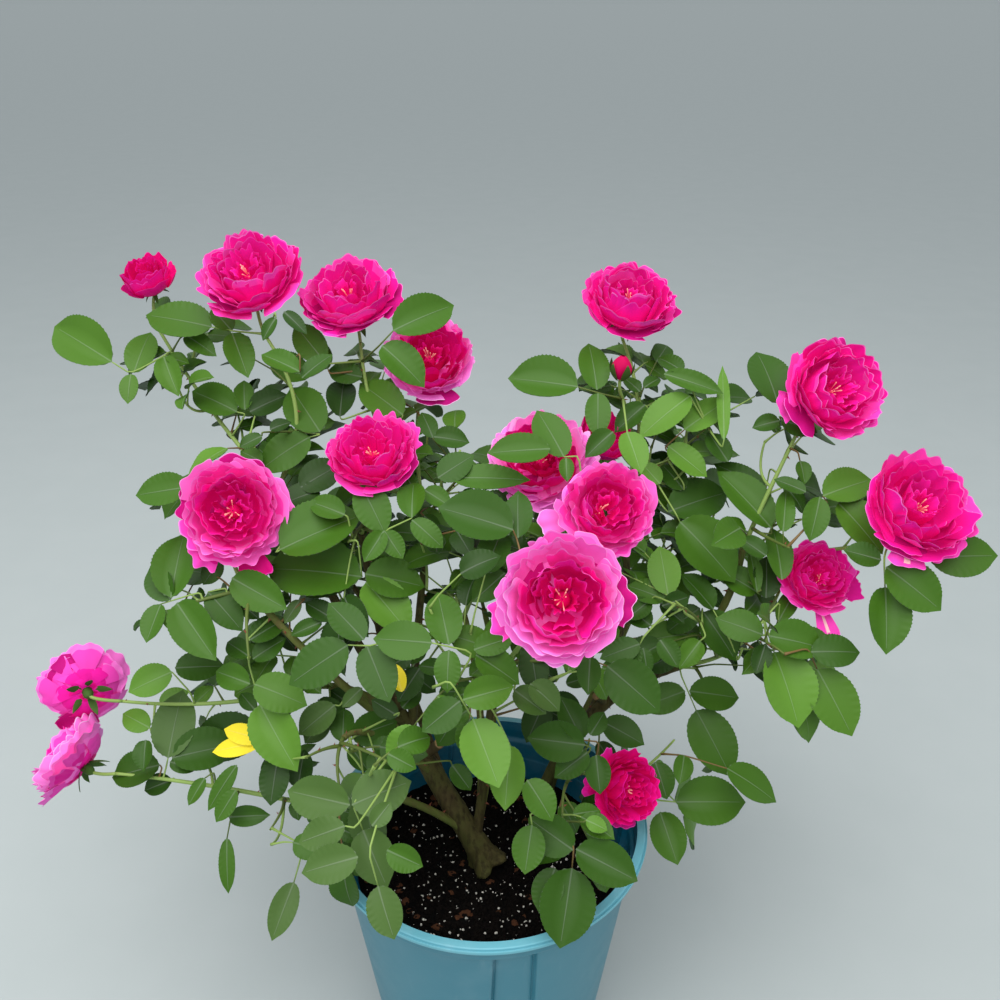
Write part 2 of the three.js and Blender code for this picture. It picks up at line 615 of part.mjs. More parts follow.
// Keeps a leaf if its stalk and end leaflet are free, with those of its side leaflets that are free too
function settleLeaf(leaf, taken, owner) {
  const stalk = stalkPlaces(leaf);
  const free = (leaflet) => leafletPlaces(leaflet).every(
    (place) => !outsideSpace(place) && !taken.meets(place, LEAF_ROOM, null),
  );
  const clearStalk = stalk.slice(1).every(
    (place) => !outsideSpace(place) && !taken.meets(place, TWIG_ROOM, owner),
  );
  if (!clearStalk || !free(leaf.last)) return null;
  const leaflets = [leaf.last];
  for (const node of leaf.nodes) {
    for (const hand of ['left', 'right']) {
      if (free(node[hand])) leaflets.push(node[hand]);
      else node[hand] = null;
    }
  }
  for (const place of stalk) taken.add(place, TWIG_ROOM, owner);
  for (const leaflet of leaflets) {
    for (const place of leafletPlaces(leaflet)) taken.add(place, LEAF_ROOM, owner);
  }
  return { ...leaf, leaflets, mass: owner };
}

function leafFacing(root, random) {
  const outward = unit([root[0], root[1], 1]);
  const jitter = [random() - 0.5, random() - 0.5, random() - 0.5];
  const level = mul([outward[0], outward[1], 0], OUTWARD_TILT);
  return unit(add(add(UP, LIGHT_FROM), add(level, mul(jitter, TILT_JITTER))));
}

function reachingLeaf(row, shoots, random) {
  const shoot = shoots.filter((one) => one.mass === row.mass)[row.shoot];
  const root = shoot.path(row.at);
  const reach = size(sub(row.tip, root));
  const length = Math.min(MOST_LEAF_LENGTH, reach / (PETIOLE + stalkShare(row.pairs) + 1));
  const petiole = reach - (stalkShare(row.pairs) + 1) * length;
  const heads = unit(add(unit(sub(row.tip, root)), [0, 0, REACHING_LIFT]));
  return layLeaf(root, heads, leafFacing(root, random), length, petiole, row.pairs);
}

function ordinaryLeaf(shoot, t, turn, random) {
  const root = shoot.path(t);
  const heads = heading(shoot.path, t);
  const right = square([0, 1, 0.01], heads);
  const up = cross(heads, right);
  const out = add(mul(right, Math.cos(turn)), mul(up, Math.sin(turn)));
  const between = ([least, most]) => least + (most - least) * random();
  const direction = unit(add(out, mul(heads, between(LEAF_LEAN))));
  const length = between(LEAF_LENGTH);
  const pairs = random() < FIVE_LEAFLETS ? 2 : 1;
  return layLeaf(root, direction, leafFacing(root, random), length, PETIOLE * length, pairs);
}

// Everything that stands before the first leaf grows: limbs, shoots, stalks and blooms
function placesOfLimbs(paths, shoots) {
  const taken = new Taken();
  for (const [name, limb] of Object.entries(LIMBS)) {
    for (const place of spaced(paths[name], TWIG_STEP)) taken.add(place, limb.radii[0] + TWIG_ROOM, name);
  }
  for (const shoot of shoots) {
    for (const place of spaced(shoot.path, TWIG_STEP)) taken.add(place, TWIG_ROOM, shoot.mass);
    if (!shoot.bloom) continue;
    const bloom = BLOOMS[shoot.bloom];
    for (const place of spaced(stalkPath(shoot), TWIG_STEP)) taken.add(place, TWIG_ROOM, shoot.bloom);
    taken.add(bloom.at, bloom.width * BLOOM_ROOM, shoot.bloom);
  }
  return taken;
}

// The leaves of one shoot, a golden angle apart. A leaf that finds no room turns on, and at last is left out.
function leavesAlong(shoot, taken, random) {
  const leaves = [];
  const length = pathLength(shoot.path);
  const bare = shoot.bloom ? BARE_UNDER_BLOOM : 0;
  let turn = random() * Math.PI * 2;
  for (let far = BARE_FOOT; far < length - bare; far += INTERNODE) {
    turn += GOLDEN_ANGLE;
    let leaf = null;
    for (let attempt = 0; attempt < LEAF_TRIES && !leaf; attempt += 1) {
      const candidate = ordinaryLeaf(shoot, far / length, turn + attempt * GOLDEN_ANGLE, random);
      leaf = settleLeaf(candidate, taken, shoot.mass);
    }
    if (leaf) leaves.push(leaf);
  }
  return leaves;
}

function growLeaves(paths, shoots) {
  const random = seeded(SEED);
  const taken = placesOfLimbs(paths, shoots);
  const reaching = REACHING.map((row) => settleLeaf(reachingLeaf(row, shoots, random), taken, row.mass));
  const ordinary = shoots.flatMap((shoot) => leavesAlong(shoot, taken, random));
  return [...reaching.filter((leaf) => leaf), ...ordinary];
}

// Solids of leaves, shoots and blooms

// The stalk of a leaf has three sides: top left, top right and bottom, anticlockwise as it comes at you.
function stalkRing(leaf, place, radius) {
  const up = mul(leaf.normal, radius * STALK_FLATNESS);
  const out = mul(leaf.side, radius);
  return [sub(add(place, up), out), add(add(place, up), out), sub(place, mul(leaf.normal, radius))];
}

// The widest ring of a leaflet: one edge, the top of its midrib, the other edge and the midrib's underside
function widestRing(leaflet) {
  const middle = add(leaflet.base, mul(leaflet.along, leaflet.length * WIDEST_AT));
  const out = mul(leaflet.side, leaflet.width / 2);
  const up = mul(leaflet.normal, LEAFLET_THICKNESS / 2);
  return [sub(middle, out), add(middle, up), add(middle, out), sub(middle, up)];
}

// One compound leaf as a single closed skin: a side leaflet grows out of the quad that its node's stalk
// shows to that side, and the end leaflet closes the stalk.
function leafSolid(leaf) {
  const places = [];
  const faces = [];
  const put = (ring3) => ring3.map((place) => places.push(place) - 1);
  const quad = (a, b, c, d) => faces.push(a, b, c, a, c, d);
  const leafletFrom = (loop, leaflet) => {
    const widest = put(widestRing(leaflet));
    const tip = put([add(leaflet.base, mul(leaflet.along, leaflet.length))])[0];
    for (let i = 0; i < 4; i += 1) {
      const next = (i + 1) % 4;
      quad(loop[i], loop[next], widest[next], widest[i]);
      faces.push(widest[i], widest[next], tip);
    }
  };
  const root = sub(leaf.root, mul(leaf.lifted, SUNK_IN_SHOOT));
  let low = put(stalkRing(leaf, root, STALK_OF_LEAF));
  faces.push(low[0], low[2], low[1]);
  const join = (high) => {
    for (let i = 0; i < 3; i += 1) quad(low[i], low[(i + 1) % 3], high[(i + 1) % 3], high[i]);
    low = high;
  };
  for (const node of leaf.nodes) {
    join(put(stalkRing(leaf, sub(node.place, mul(leaf.onward, LEAFLET_ROOT)), STALK_OF_LEAF)));
    const high = put(stalkRing(leaf, add(node.place, mul(leaf.onward, LEAFLET_ROOT)), STALK_OF_LEAF));
    quad(low[0], low[1], high[1], high[0]);
    if (node.right) leafletFrom([high[1], low[1], low[2], high[2]], node.right);
    else quad(low[1], low[2], high[2], high[1]);
    if (node.left) leafletFrom([low[2], low[0], high[0], high[2]], node.left);
    else quad(low[2], low[0], high[0], high[2]);
    low = high;
  }
  join(put(stalkRing(leaf, leaf.end, STALK_OF_LEAF * STALK_TAPER)));
  const widest = put(widestRing(leaf.last));
  const tip = put([add(leaf.end, mul(leaf.last.along, leaf.last.length))])[0];
  faces.push(low[0], widest[1], widest[0], low[0], low[1], widest[1], low[1], widest[2], widest[1]);
  faces.push(low[1], low[2], widest[2], low[2], widest[3], widest[2], low[2], widest[0], widest[3]);
  faces.push(low[2], low[0], widest[0]);
  for (let i = 0; i < 4; i += 1) faces.push(widest[i], widest[(i + 1) % 4], tip);
  const geometry = new THREE.BufferGeometry();
  geometry.setAttribute('position', new THREE.Float32BufferAttribute(places.flat(), 3));
  geometry.setIndex(faces);
  return toSolid(geometry);
}

function shootSolid(shoot) {
  const [foot, tip] = shoot.first ? SHOOT_RADII : FORK_RADII;
  const radius = (t) => foot + (tip - foot) * t;
  return toSolid(limbSkin(shoot.path, radius, SHOOT_SIDES, shoot.first ? 3 : 2, shoot.facing));
}

function massSolid(mass, shoots, leaves) {
  const stems = shoots.filter((shoot) => shoot.mass === mass.name).map(shootSolid);
  const green = leaves.filter((leaf) => leaf.mass === mass.name).map(leafSolid);
  return fuse([...stems, ...green]);
}

function bloomSolid(shoot) {
  const bloom = BLOOMS[shoot.bloom];
  const faces = unit(bloom.faces);
  const table = bloom.closed ? BUD_RINGS : OPEN_RINGS;
  const top = bloom.closed ? BUD_TOP : BLOOM_TOP;
  const right = square([1, 0.02, 0.03], faces);
  const up = cross(faces, right);
  const rings = table.map(([radius, height, ruffle], row) => Array.from({ length: BLOOM_SIDES }, (_, i) => {
    const turn = (i / BLOOM_SIDES) * Math.PI * 2;
    const wave = ruffle * (i % 2 === row % 2 ? 1 : -1);
    const out = (radius + wave * RUFFLE_OUT) * bloom.width;
    const rise = (height + wave) * bloom.width;
    const flat = add(mul(right, out * Math.cos(turn)), mul(up, out * Math.sin(turn)));
    return add(bloom.at, add(flat, mul(faces, rise)));
  }));
  const places = rings.flat();
  const first = places.push(add(bloom.at, mul(faces, table[0][1] * bloom.width))) - 1;
  const last = places.push(add(bloom.at, mul(faces, top * bloom.width))) - 1;
  const head = toSolid(closeRings(places, rings.length, BLOOM_SIDES, first, last));
  const footFacing = heading(shoot.path, 1);
  const stalk = limbSkin(stalkPath(shoot), () => STALK_RADIUS, STALK_SIDES, STALK_STEPS, footFacing);
  return fuse([head, toSolid(stalk)]);
}

// Pot and soil

// Angles round the pot, closer together at the sides of each flute
function potAngles() {
  const angles = [];
  const sector = 360 / FLUTE.count;
  const edge = FLUTE.halfWidthDeg;
  for (let flute = 0; flute < FLUTE.count; flute += 1) {
    const middle = FLUTE.firstAngle + flute * sector;
    const inner = edge - FLUTE.sideDeg;
    for (const [turn, deep] of [[-edge, 0], [-inner, 1], [0, 1], [inner, 1], [edge, 0]]) {
      angles.push({ turn: THREE.MathUtils.degToRad(middle + turn), deep });
    }
    const rest = sector - 2 * edge;
    for (let step = 1; step < STEPS_BETWEEN_FLUTES; step += 1) {
      const turn = middle + edge + (rest * step) / STEPS_BETWEEN_FLUTES;
      angles.push({ turn: THREE.MathUtils.degToRad(turn), deep: 0 });
    }
  }
  return angles;
}

function turned(profile) {
  const angles = potAngles();
  const rings = profile.map(([radius, height, fluted]) => angles.map(({ turn, deep }) => {
    const out = radius - (fluted ? deep * FLUTE.depth : 0);
    return [out * Math.cos(turn), out * Math.sin(turn), height];
  }));
  return skin(rings);
}

function wallRadius(height) {
  return POT.baseRadius + ((POT.wallTopRadius - POT.baseRadius) * height) / POT.wallTop;
}

function potGeometry() {
  const { thickness, wallTop, collarTop, height, rimRadius, collarRadius, underRimRadius, stepRise } = POT;
  const innerWall = (at) => wallRadius(at) - thickness;
  const fluteFoot = FLUTE.bottom + FLUTE.footRise;
  const lipFoot = height - POT.lipHeight;
  return turned([
    [POT.baseRadius, 0, false],
    [wallRadius(FLUTE.bottom), FLUTE.bottom, false],
    [wallRadius(fluteFoot), fluteFoot, true],
    [POT.wallTopRadius, wallTop, true],
    [collarRadius, wallTop + stepRise, false],
    [collarRadius, collarTop, false],
    [underRimRadius, collarTop + stepRise, false],
    [underRimRadius, lipFoot, false],
    [rimRadius, lipFoot + stepRise, false],
    [rimRadius, height, false],
    [rimRadius - POT.rimBand, height, false],
    [collarRadius - thickness, collarTop - stepRise, false],
    [collarRadius - thickness, wallTop + POT.ledgeRise, false],
    [innerWall(wallTop), wallTop, true],
    [innerWall(fluteFoot + thickness), fluteFoot + thickness, true],
    [innerWall(FLUTE.bottom), FLUTE.bottom, false],
    [innerWall(thickness), thickness, false],
  ]);
}

// The potting mix fills the pot up to its level, a little clear of the wall and of the flutes' steep sides.
function soilGeometry() {
  const inset = POT.thickness + 3 * GAP;
  const soilRadius = (at) => wallRadius(at) - inset;
  const foot = POT.thickness + GAP;
  return turned([
    [soilRadius(foot), foot, true],
    [soilRadius(SOIL_TOP), SOIL_TOP, true],
  ]);
}

// Materials

const plain = (color, roughness) => () => new THREE.MeshStandardMaterial({ color, roughness, metalness: 0 });
const potPlastic = plain(0x4a8ea2, 0.45);
const pottingMix = plain(0x17110e, 0.95);
const bark = plain(0x6a5a33, 0.85);
const greenStem = plain(0x6f8a3a, 0.65);
const leafGreen = plain(0x3f6f36, 0.6);
const petalPink = plain(0xf0207c, 0.6);

// The bush

const bush = new THREE.Group();

function place(name, geometry, material) {
  const mesh = new THREE.Mesh(geometry, material);
  mesh.name = name;
  bush.add(mesh);
}

place('pot', potGeometry(), potPlastic());
place('soil', soilGeometry(), pottingMix());

const paths = limbPaths();
const limbs = limbSolids(paths);
for (const [name, limb] of Object.entries(LIMBS)) {
  const material = limb.radii[0] > BARK_FROM_RADIUS ? bark() : greenStem();
  place(name, toGeometry(limbs[name]), material);
}

const shoots = growShoots(paths);
const leaves = growLeaves(paths, shoots);
for (const shoot of shoots.filter((one) => one.bloom)) {
  place(shoot.bloom, toGeometry(bloomSolid(shoot)), petalPink());
}
for (const mass of MASSES) {
  place(mass.name, toGeometry(massSolid(mass, shoots, leaves)), leafGreen());
}

export default bush;
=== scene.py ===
"""A rose bush in full bloom, in its round fluted pot.

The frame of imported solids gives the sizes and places. This file grows the same bush over it with its real
finish: barked canes, leafy shoots, ruffled blooms, the moulded pot and its potting mix.
Lengths are in millimetres until a mesh is made, and in metres from there on.
"""

import math
from functools import lru_cache, partial

import bpy
import numpy as np
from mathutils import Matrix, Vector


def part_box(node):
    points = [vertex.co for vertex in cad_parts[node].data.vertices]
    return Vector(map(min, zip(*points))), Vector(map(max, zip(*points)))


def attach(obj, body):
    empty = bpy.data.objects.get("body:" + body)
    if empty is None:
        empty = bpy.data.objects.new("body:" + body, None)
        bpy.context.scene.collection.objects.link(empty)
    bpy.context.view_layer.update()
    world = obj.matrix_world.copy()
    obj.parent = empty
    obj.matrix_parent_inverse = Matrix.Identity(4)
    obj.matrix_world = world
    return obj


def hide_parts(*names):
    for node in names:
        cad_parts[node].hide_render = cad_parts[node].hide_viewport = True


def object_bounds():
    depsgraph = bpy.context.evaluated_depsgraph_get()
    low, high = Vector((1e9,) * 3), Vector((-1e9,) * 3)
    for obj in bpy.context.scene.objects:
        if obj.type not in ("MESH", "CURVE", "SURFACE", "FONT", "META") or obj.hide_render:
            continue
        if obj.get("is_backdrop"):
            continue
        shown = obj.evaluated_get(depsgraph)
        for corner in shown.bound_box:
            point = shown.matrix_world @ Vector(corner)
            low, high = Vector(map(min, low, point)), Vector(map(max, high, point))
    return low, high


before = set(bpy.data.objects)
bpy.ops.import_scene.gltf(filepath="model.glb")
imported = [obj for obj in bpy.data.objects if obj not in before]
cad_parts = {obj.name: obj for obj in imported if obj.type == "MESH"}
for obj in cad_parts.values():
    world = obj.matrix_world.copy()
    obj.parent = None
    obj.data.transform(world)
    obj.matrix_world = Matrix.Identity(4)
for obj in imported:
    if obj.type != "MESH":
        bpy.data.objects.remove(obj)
CAD_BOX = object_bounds()

bl_info = {
    "name": "Potted Rose Bush",
    "version": (1, 0, 0),
    "blender": (4, 5, 0),
    "location": "View3D > Sidebar > Rose Bush",
    "description": "Grows a rose bush in bloom, in its pot, over the frame of its solids",
    "category": "Add Mesh",
}

MM = 0.001
SEEDS = {"soil": 11, "canes": 3, "shoots": 8, "leaves": 14, "blooms": 2}
BODY = "root"
POT_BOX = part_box("pot")
SOIL_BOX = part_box("soil")
POT_HEIGHT = (POT_BOX[1][2] - POT_BOX[0][2]) / MM
RIM_RADIUS = (POT_BOX[1][0] - POT_BOX[0][0]) / 2 / MM
SOIL_TOP = SOIL_BOX[1][2] / MM
GAP = 0.3


# The plan of the bush, as in the source of its solids

FOOT = SOIL_TOP + GAP
LIMBS = {
    "trunk": dict(foot=(0, 0, FOOT), via=(-42, 19, 284), tip=(-85, 45, 358), radii=(12.5, 8), flare=6.5),
    "stem_right": dict(foot=(52, 72, FOOT), via=(100, 85, 318), tip=(184, 80, 386), radii=(8, 5), flare=3),
    "bough_up_left": dict(on="trunk", at=0.97, via=(-140, 70, 466), tip=(-175, 100, 550), radii=(5, 3.2)),
    "bough_up_mid": dict(on="trunk", at=0.99, via=(-102, 62, 460), tip=(-110, 62, 540), radii=(4.5, 3)),
    "bough_up_right": dict(on="trunk", at=0.85, via=(-66, 75, 425), tip=(-56, 120, 515), radii=(4.5, 3)),
    "bough_left_front": dict(on="trunk", at=0.8, via=(-140, 10, 430), tip=(-198, 20, 500), radii=(4.2, 2.8)),
    "bough_left_low": dict(on="trunk", at=0.9, via=(-130, 48, 382), tip=(-187, 36, 386), radii=(4.2, 2.6)),
    "bough_low_left": dict(on="trunk", at=0.2, via=(-94, -8, 304), tip=(-172, -15, 302), radii=(4, 2.6)),
    "bough_front_left": dict(on="trunk", at=0.6, via=(-95, -8, 372), tip=(-122, -38, 396), radii=(3.6, 2.4)),
    "bough_centre": dict(on="trunk", at=0.14, via=(-2, 10, 325), tip=(5, -18, 436), radii=(5, 3)),
    "bough_centre_back": dict(
        on="bough_centre", at=0.25, via=(-8, 55, 360), tip=(-22, 88, 438), radii=(4, 2.8)),
    "bough_right_up": dict(on="stem_right", at=0.5, via=(132, 115, 415), tip=(128, 130, 515), radii=(4.5, 3)),
    "bough_right_far": dict(on="stem_right", at=0.93, via=(213, 76, 440), tip=(232, 80, 515), radii=(4.2, 3)),
    "bough_right_low": dict(on="stem_right", at=0.26, via=(80, 40, 308), tip=(86, 2, 322), radii=(3.6, 2.4)),
    "bough_back_left": dict(on="trunk", at=0.45, via=(-90, 115, 360), tip=(-145, 180, 420), radii=(4.5, 2.8)),
    "bough_back_mid": dict(on="bough_centre", at=0.12, via=(5, 100, 325), tip=(-5, 170, 392), radii=(4, 2.8)),
    "bough_back_right": dict(
        on="stem_right", at=0.3, via=(125, 140, 345), tip=(165, 188, 415), radii=(4.2, 2.8)),
}
FLARE_REACH = 0.16
BARK_FROM_RADIUS = 4.4

# Blooms: the middle, the width, the way each faces and the look of its petals
BLOOMS = {
    "bloom_top_far_left": dict(at=(-314, 207, 732), width=48, faces=(-0.15, -0.35, 0.92), look="deep"),
    "bloom_top_left": dict(at=(-211, 161, 751), width=90, faces=(-0.1, -0.6, 0.8), look="hot"),
    "bloom_top_mid": dict(at=(-126, 177, 729), width=88, faces=(-0.1, -0.45, 0.9), look="hot"),
    "bloom_behind_leaves": dict(at=(-53, 178, 668), width=88, faces=(0.1, -0.62, 0.78), look="aged"),
    "bloom_mid_left": dict(at=(-97, 67, 621), width=80, faces=(0, -0.45, 0.9), look="bright"),
    "bloom_front_left": dict(at=(-212, 30, 580), width=92, faces=(0.15, -0.85, 0.5), look="soft",
                             loose=[(-72, 0.64, 1.6, 2.4), (-125, 0.58, 3, 4)]),
    "bloom_top_right": dict(at=(131, 182, 723), width=86, faces=(0.1, -0.5, 0.86), look="hot"),
    "bud_top_right": dict(at=(120, 137, 667), width=20, faces=(0.05, -0.1, 1), look="deep", closed=True),
    "bloom_centre_back": dict(at=(47, 93, 602), width=92, faces=(-0.1, -0.6, 0.8), look="aged"),
    "bloom_small_centre": dict(at=(108, 140, 600), width=50, faces=(0.25, -0.4, 0.9), look="deep"),
    "bloom_centre_upper": dict(at=(92, 4, 595), width=92, faces=(0.05, -0.75, 0.66), look="soft",
                               petals_at=(99, 4, 597), petals_width=82, loose=[(190, 0.68, 4, 5)]),
    "bloom_centre_front": dict(at=(56, -109, 581), width=94, faces=(-0.04, -0.82, 0.58), look="lavender",
                               loose=[(196, 0.56, 2, 4)]),
    "bloom_right_upper": dict(at=(295, 80, 669), width=90, faces=(0.25, -0.8, 0.55), look="hot",
                              petals_at=(298, 80, 670), loose=[(196, 0.57, 2, 4)]),
    "bloom_far_right": dict(at=(353, 7, 599), width=92, faces=(0.12, -0.62, 0.78), look="bright",
                            petals_at=(354, 7, 599), loose=[(-108, 0.52, "cream", 4)]),
    "bloom_right_mid": dict(at=(300, 56, 496), width=78, faces=(-0.1, -0.85, 0.5), look="bright",
                            petals_at=(296, 54, 503), petals_width=68, petals_faces=(0.1, -0.66, 0.74),
                            loose=[(-82, 0.84, "cream", 4), (-18, 0.66, 2, 3), (8, 0.6, 2, 3)]),
    "bloom_low_right": dict(at=(128, -38, 338), width=66, faces=(0.72, -0.6, 0.35), look="deep",
                           petals_faces=(0.5, -0.72, 0.48), loose=[(170, 0.62, 1, 3), (120, 0.56, 2, 4)]),
    "bloom_low_left": dict(at=(-381, 54, 388), width=80, faces=(-0.5, 0.82, -0.1), look="soft",
                           pale_foot=True),
    "bloom_lowest_left": dict(at=(-391, 8, 341), width=80, faces=(-0.82, 0.25, 0.5), look="lavender",
                              loose=[(-95, 0.64, 3, 4), (-62, 0.6, 3, 4), (-130, 0.58, 4, 5)]),
}
OPEN_HIP = -0.42
BUD_HIP = -0.6

# Masses of leaves: the bough that carries each, and its shoots. The first shoot goes on from the bough's
# tip, and the others fork from the first. A shoot with a bloom ends at that bloom's stalk.
MASSES = {
    "leaves_top_left": ("bough_up_left", [
        dict(via=(-248, 160, 602), tip=(-312, 203, 688), bloom="bloom_top_far_left"),
        dict(at=0.12, via=(-172, 130, 625), tip=(-200, 158, 692), bloom="bloom_top_left"),
        dict(at=0.06, via=(-212, 80, 575), tip=(-245, 62, 592)),
    ]),
    "leaves_top_mid": ("bough_up_right", [
        dict(via=(-66, 150, 565), tip=(-66, 185, 615), bloom="bloom_behind_leaves"),
        dict(at=0.15, via=(-100, 150, 600), tip=(-118, 185, 675), bloom="bloom_top_mid"),
        dict(at=0.08, via=(-40, 120, 550), tip=(-22, 118, 572)),
    ]),
    "leaves_mid_left": ("bough_up_mid", [
        dict(via=(-106, 66, 556), tip=(-100, 76, 576), bloom="bloom_mid_left"),
        dict(at=0.1, via=(-145, 50, 560), tip=(-172, 48, 590)),
        dict(at=0.2, via=(-75, 30, 550), tip=(-52, 5, 560)),
        dict(at=0.3, via=(-120, 20, 548), tip=(-130, -15, 540)),
    ]),
    "leaves_front_left": ("bough_left_front", [
        dict(via=(-216, 36, 516), tip=(-224, 50, 542), bloom="bloom_front_left"),
        dict(at=0.1, via=(-196, -25, 500), tip=(-186, -62, 462)),
        dict(at=0.2, via=(-245, 12, 502), tip=(-262, 18, 490)),
    ]),
    "leaves_left": ("bough_left_low", [
        dict(via=(-262, 34, 376), tip=(-336, 30, 382), bloom="bloom_low_left"),
        dict(at=0.1, via=(-210, 10, 400), tip=(-232, -10, 420)),
    ]),
    "leaves_low_left": ("bough_low_left", [
        dict(via=(-258, -10, 318), tip=(-340, -4, 326), bloom="bloom_lowest_left"),
        dict(at=0.08, via=(-185, -40, 310), tip=(-198, -62, 300)),
    ]),
    "leaves_low_front_left": ("bough_front_left", [
        dict(via=(-124, -66, 384), tip=(-114, -88, 350)),
        dict(at=0.15, via=(-140, -60, 400), tip=(-160, -80, 400)),
        dict(at=0.1, via=(-100, -70, 410), tip=(-70, -95, 415)),
    ]),
    "leaves_centre_front": ("bough_centre", [
        dict(via=(24, -42, 488), tip=(44, -70, 535), bloom="bloom_centre_front"),
        dict(at=0.15, via=(-16, -55, 470), tip=(-40, -85, 485)),
        dict(at=0.3, via=(58, -50, 485), tip=(86, -65, 488)),
        dict(at=0.1, via=(-30, -10, 478), tip=(-62, -25, 505)),
    ]),
    "leaves_centre_back": ("bough_centre_back", [
        dict(via=(6, 98, 500), tip=(42, 116, 552), bloom="bloom_centre_back"),
        dict(at=0.25, via=(45, 55, 510), tip=(84, 34, 545), bloom="bloom_centre_upper"),
        dict(at=0.15, via=(-45, 60, 480), tip=(-58, 40, 500)),
    ]),
    "leaves_top_right": ("bough_right_up", [
        dict(via=(142, 156, 600), tip=(128, 200, 672), bloom="bloom_top_right"),
        dict(at=0.15, via=(136, 158, 590), tip=(124, 148, 634), bloom="bud_top_right"),
        dict(at=0.2, via=(172, 140, 580), tip=(202, 138, 610)),
        dict(at=0.1, via=(114, 144, 548), tip=(101, 152, 570), bloom="bloom_small_centre"),
    ]),
    "leaves_far_right": ("bough_right_far", [
        dict(via=(250, 85, 570), tip=(280, 108, 632), bloom="bloom_right_upper"),
        dict(at=0.1, via=(288, 50, 528), tip=(342, 30, 552), bloom="bloom_far_right"),
        dict(at=0.2, via=(255, 30, 545), tip=(275, -5, 555)),
    ]),
    "leaves_mid_right": ("stem_right", [
        dict(via=(236, 68, 418), tip=(272, 84, 468), bloom="bloom_right_mid"),
        dict(at=0.1, via=(205, 60, 380), tip=(208, 52, 358)),
        dict(at=0.4, via=(230, 20, 460), tip=(250, -20, 470)),
        dict(at=0.3, via=(190, 35, 465), tip=(160, 10, 500)),
    ]),
    "leaves_low_right": ("bough_right_low", [
        dict(via=(84, -16, 338), tip=(92, -30, 348), bloom="bloom_low_right"),
        dict(at=0.25, via=(68, -52, 356), tip=(64, -88, 350)),
        dict(at=0.1, via=(120, 10, 320), tip=(152, -4, 318)),
    ]),
    "leaves_back_left": ("bough_back_left", [
        dict(via=(-180, 212, 460), tip=(-208, 236, 505)),
        dict(at=0.15, via=(-130, 220, 470), tip=(-118, 240, 530)),
        dict(at=0.1, via=(-200, 190, 420), tip=(-250, 200, 410)),
        dict(at=0.08, via=(-130, 215, 400), tip=(-115, 250, 380)),
    ]),
    "leaves_back_mid": ("bough_back_mid", [
        dict(via=(-20, 205, 445), tip=(-30, 232, 500)),
        dict(at=0.15, via=(25, 200, 430), tip=(50, 215, 475)),
        dict(at=0.1, via=(0, 215, 395), tip=(10, 250, 375)),
    ]),
    "leaves_back_right": ("bough_back_right", [
        dict(via=(200, 210, 455), tip=(228, 226, 505)),
        dict(at=0.15, via=(160, 220, 465), tip=(150, 238, 520)),
        dict(at=0.1, via=(215, 185, 415), tip=(258, 190, 425)),
        dict(at=0.08, via=(155, 220, 395), tip=(140, 250, 370)),
    ]),
}

# A shoot that bends behind another bloom once the source's leaves are grown, and where its middle then is
BENT_BEHIND = {"bloom_far_right": (290, 90, 507)}

# Leaves that give the crown its outline: mass, shoot, where along it, the end leaflet's tip, and pairs
REACHING = [
    ("leaves_top_left", 0, 0.72, (-409, 205, 686), 1),
    ("leaves_top_left", 1, 0.8, (-296, 150, 708), 1),
    ("leaves_top_left", 2, 1, (-302, 56, 580), 1),
    ("leaves_top_mid", 1, 0.9, (-22, 112, 716), 1),
    ("leaves_top_mid", 2, 1, (20, 105, 610), 1),
    ("leaves_front_left", 2, 1, (-310, 18, 472), 2),
    ("leaves_front_left", 1, 1, (-162, -80, 380), 2),
    ("leaves_left", 0, 0.35, (-290, -25, 345), 2),
    ("leaves_left", 0, 0.5, (-325, 10, 430), 2),
    ("leaves_low_left", 0, 0.5, (-245, -40, 222), 2),
    ("leaves_low_left", 1, 1, (-200, -85, 188), 2),
    ("leaves_low_front_left", 0, 1, (-78, -158, 283), 2),
    ("leaves_low_front_left", 0, 0.5, (-180, -110, 318), 2),
    ("leaves_centre_front", 1, 1, (2, -115, 398), 1),
    ("leaves_centre_front", 2, 1, (140, -80, 440), 1),
    ("leaves_centre_front", 3, 0.6, (-20, -80, 570), 1),
    ("leaves_mid_left", 3, 1, (-155, -80, 468), 2),
    ("leaves_top_right", 0, 0.7, (22, 128, 661), 1),
    ("leaves_top_right", 2, 1, (268, 130, 660), 2),
    ("leaves_centre_back", 1, 0.6, (-5, 18, 634), 1),
    ("leaves_far_right", 0, 0.72, (226, 76, 708), 1),
    ("leaves_far_right", 1, 0.95, (416, -10, 545), 1),
    ("leaves_far_right", 1, 0.75, (352, -40, 498), 1),
    ("leaves_mid_right", 2, 1, (268, -60, 412), 1),
    ("leaves_mid_right", 2, 0.7, (318, -40, 420), 1),
    ("leaves_mid_right", 1, 1, (224, 45, 280), 1),
    ("leaves_low_right", 2, 1, (231, -22, 313), 1),
    ("leaves_low_right", 1, 1, (54, -164, 290), 2),
]

# Where the bush is seen from, in millimetres, and how far that view looks down
VIEWED_FROM = np.array((11.7, -711.4, 960.1))
VIEW_PITCH = math.radians(26.57)
VIEW_WIDTH = 1000
VIEW_MIDDLE = 500
VIEW_AHEAD = np.array((0, math.cos(VIEW_PITCH), -math.sin(VIEW_PITCH)))
VIEW_UP = np.array((0, math.sin(VIEW_PITCH), math.cos(VIEW_PITCH)))

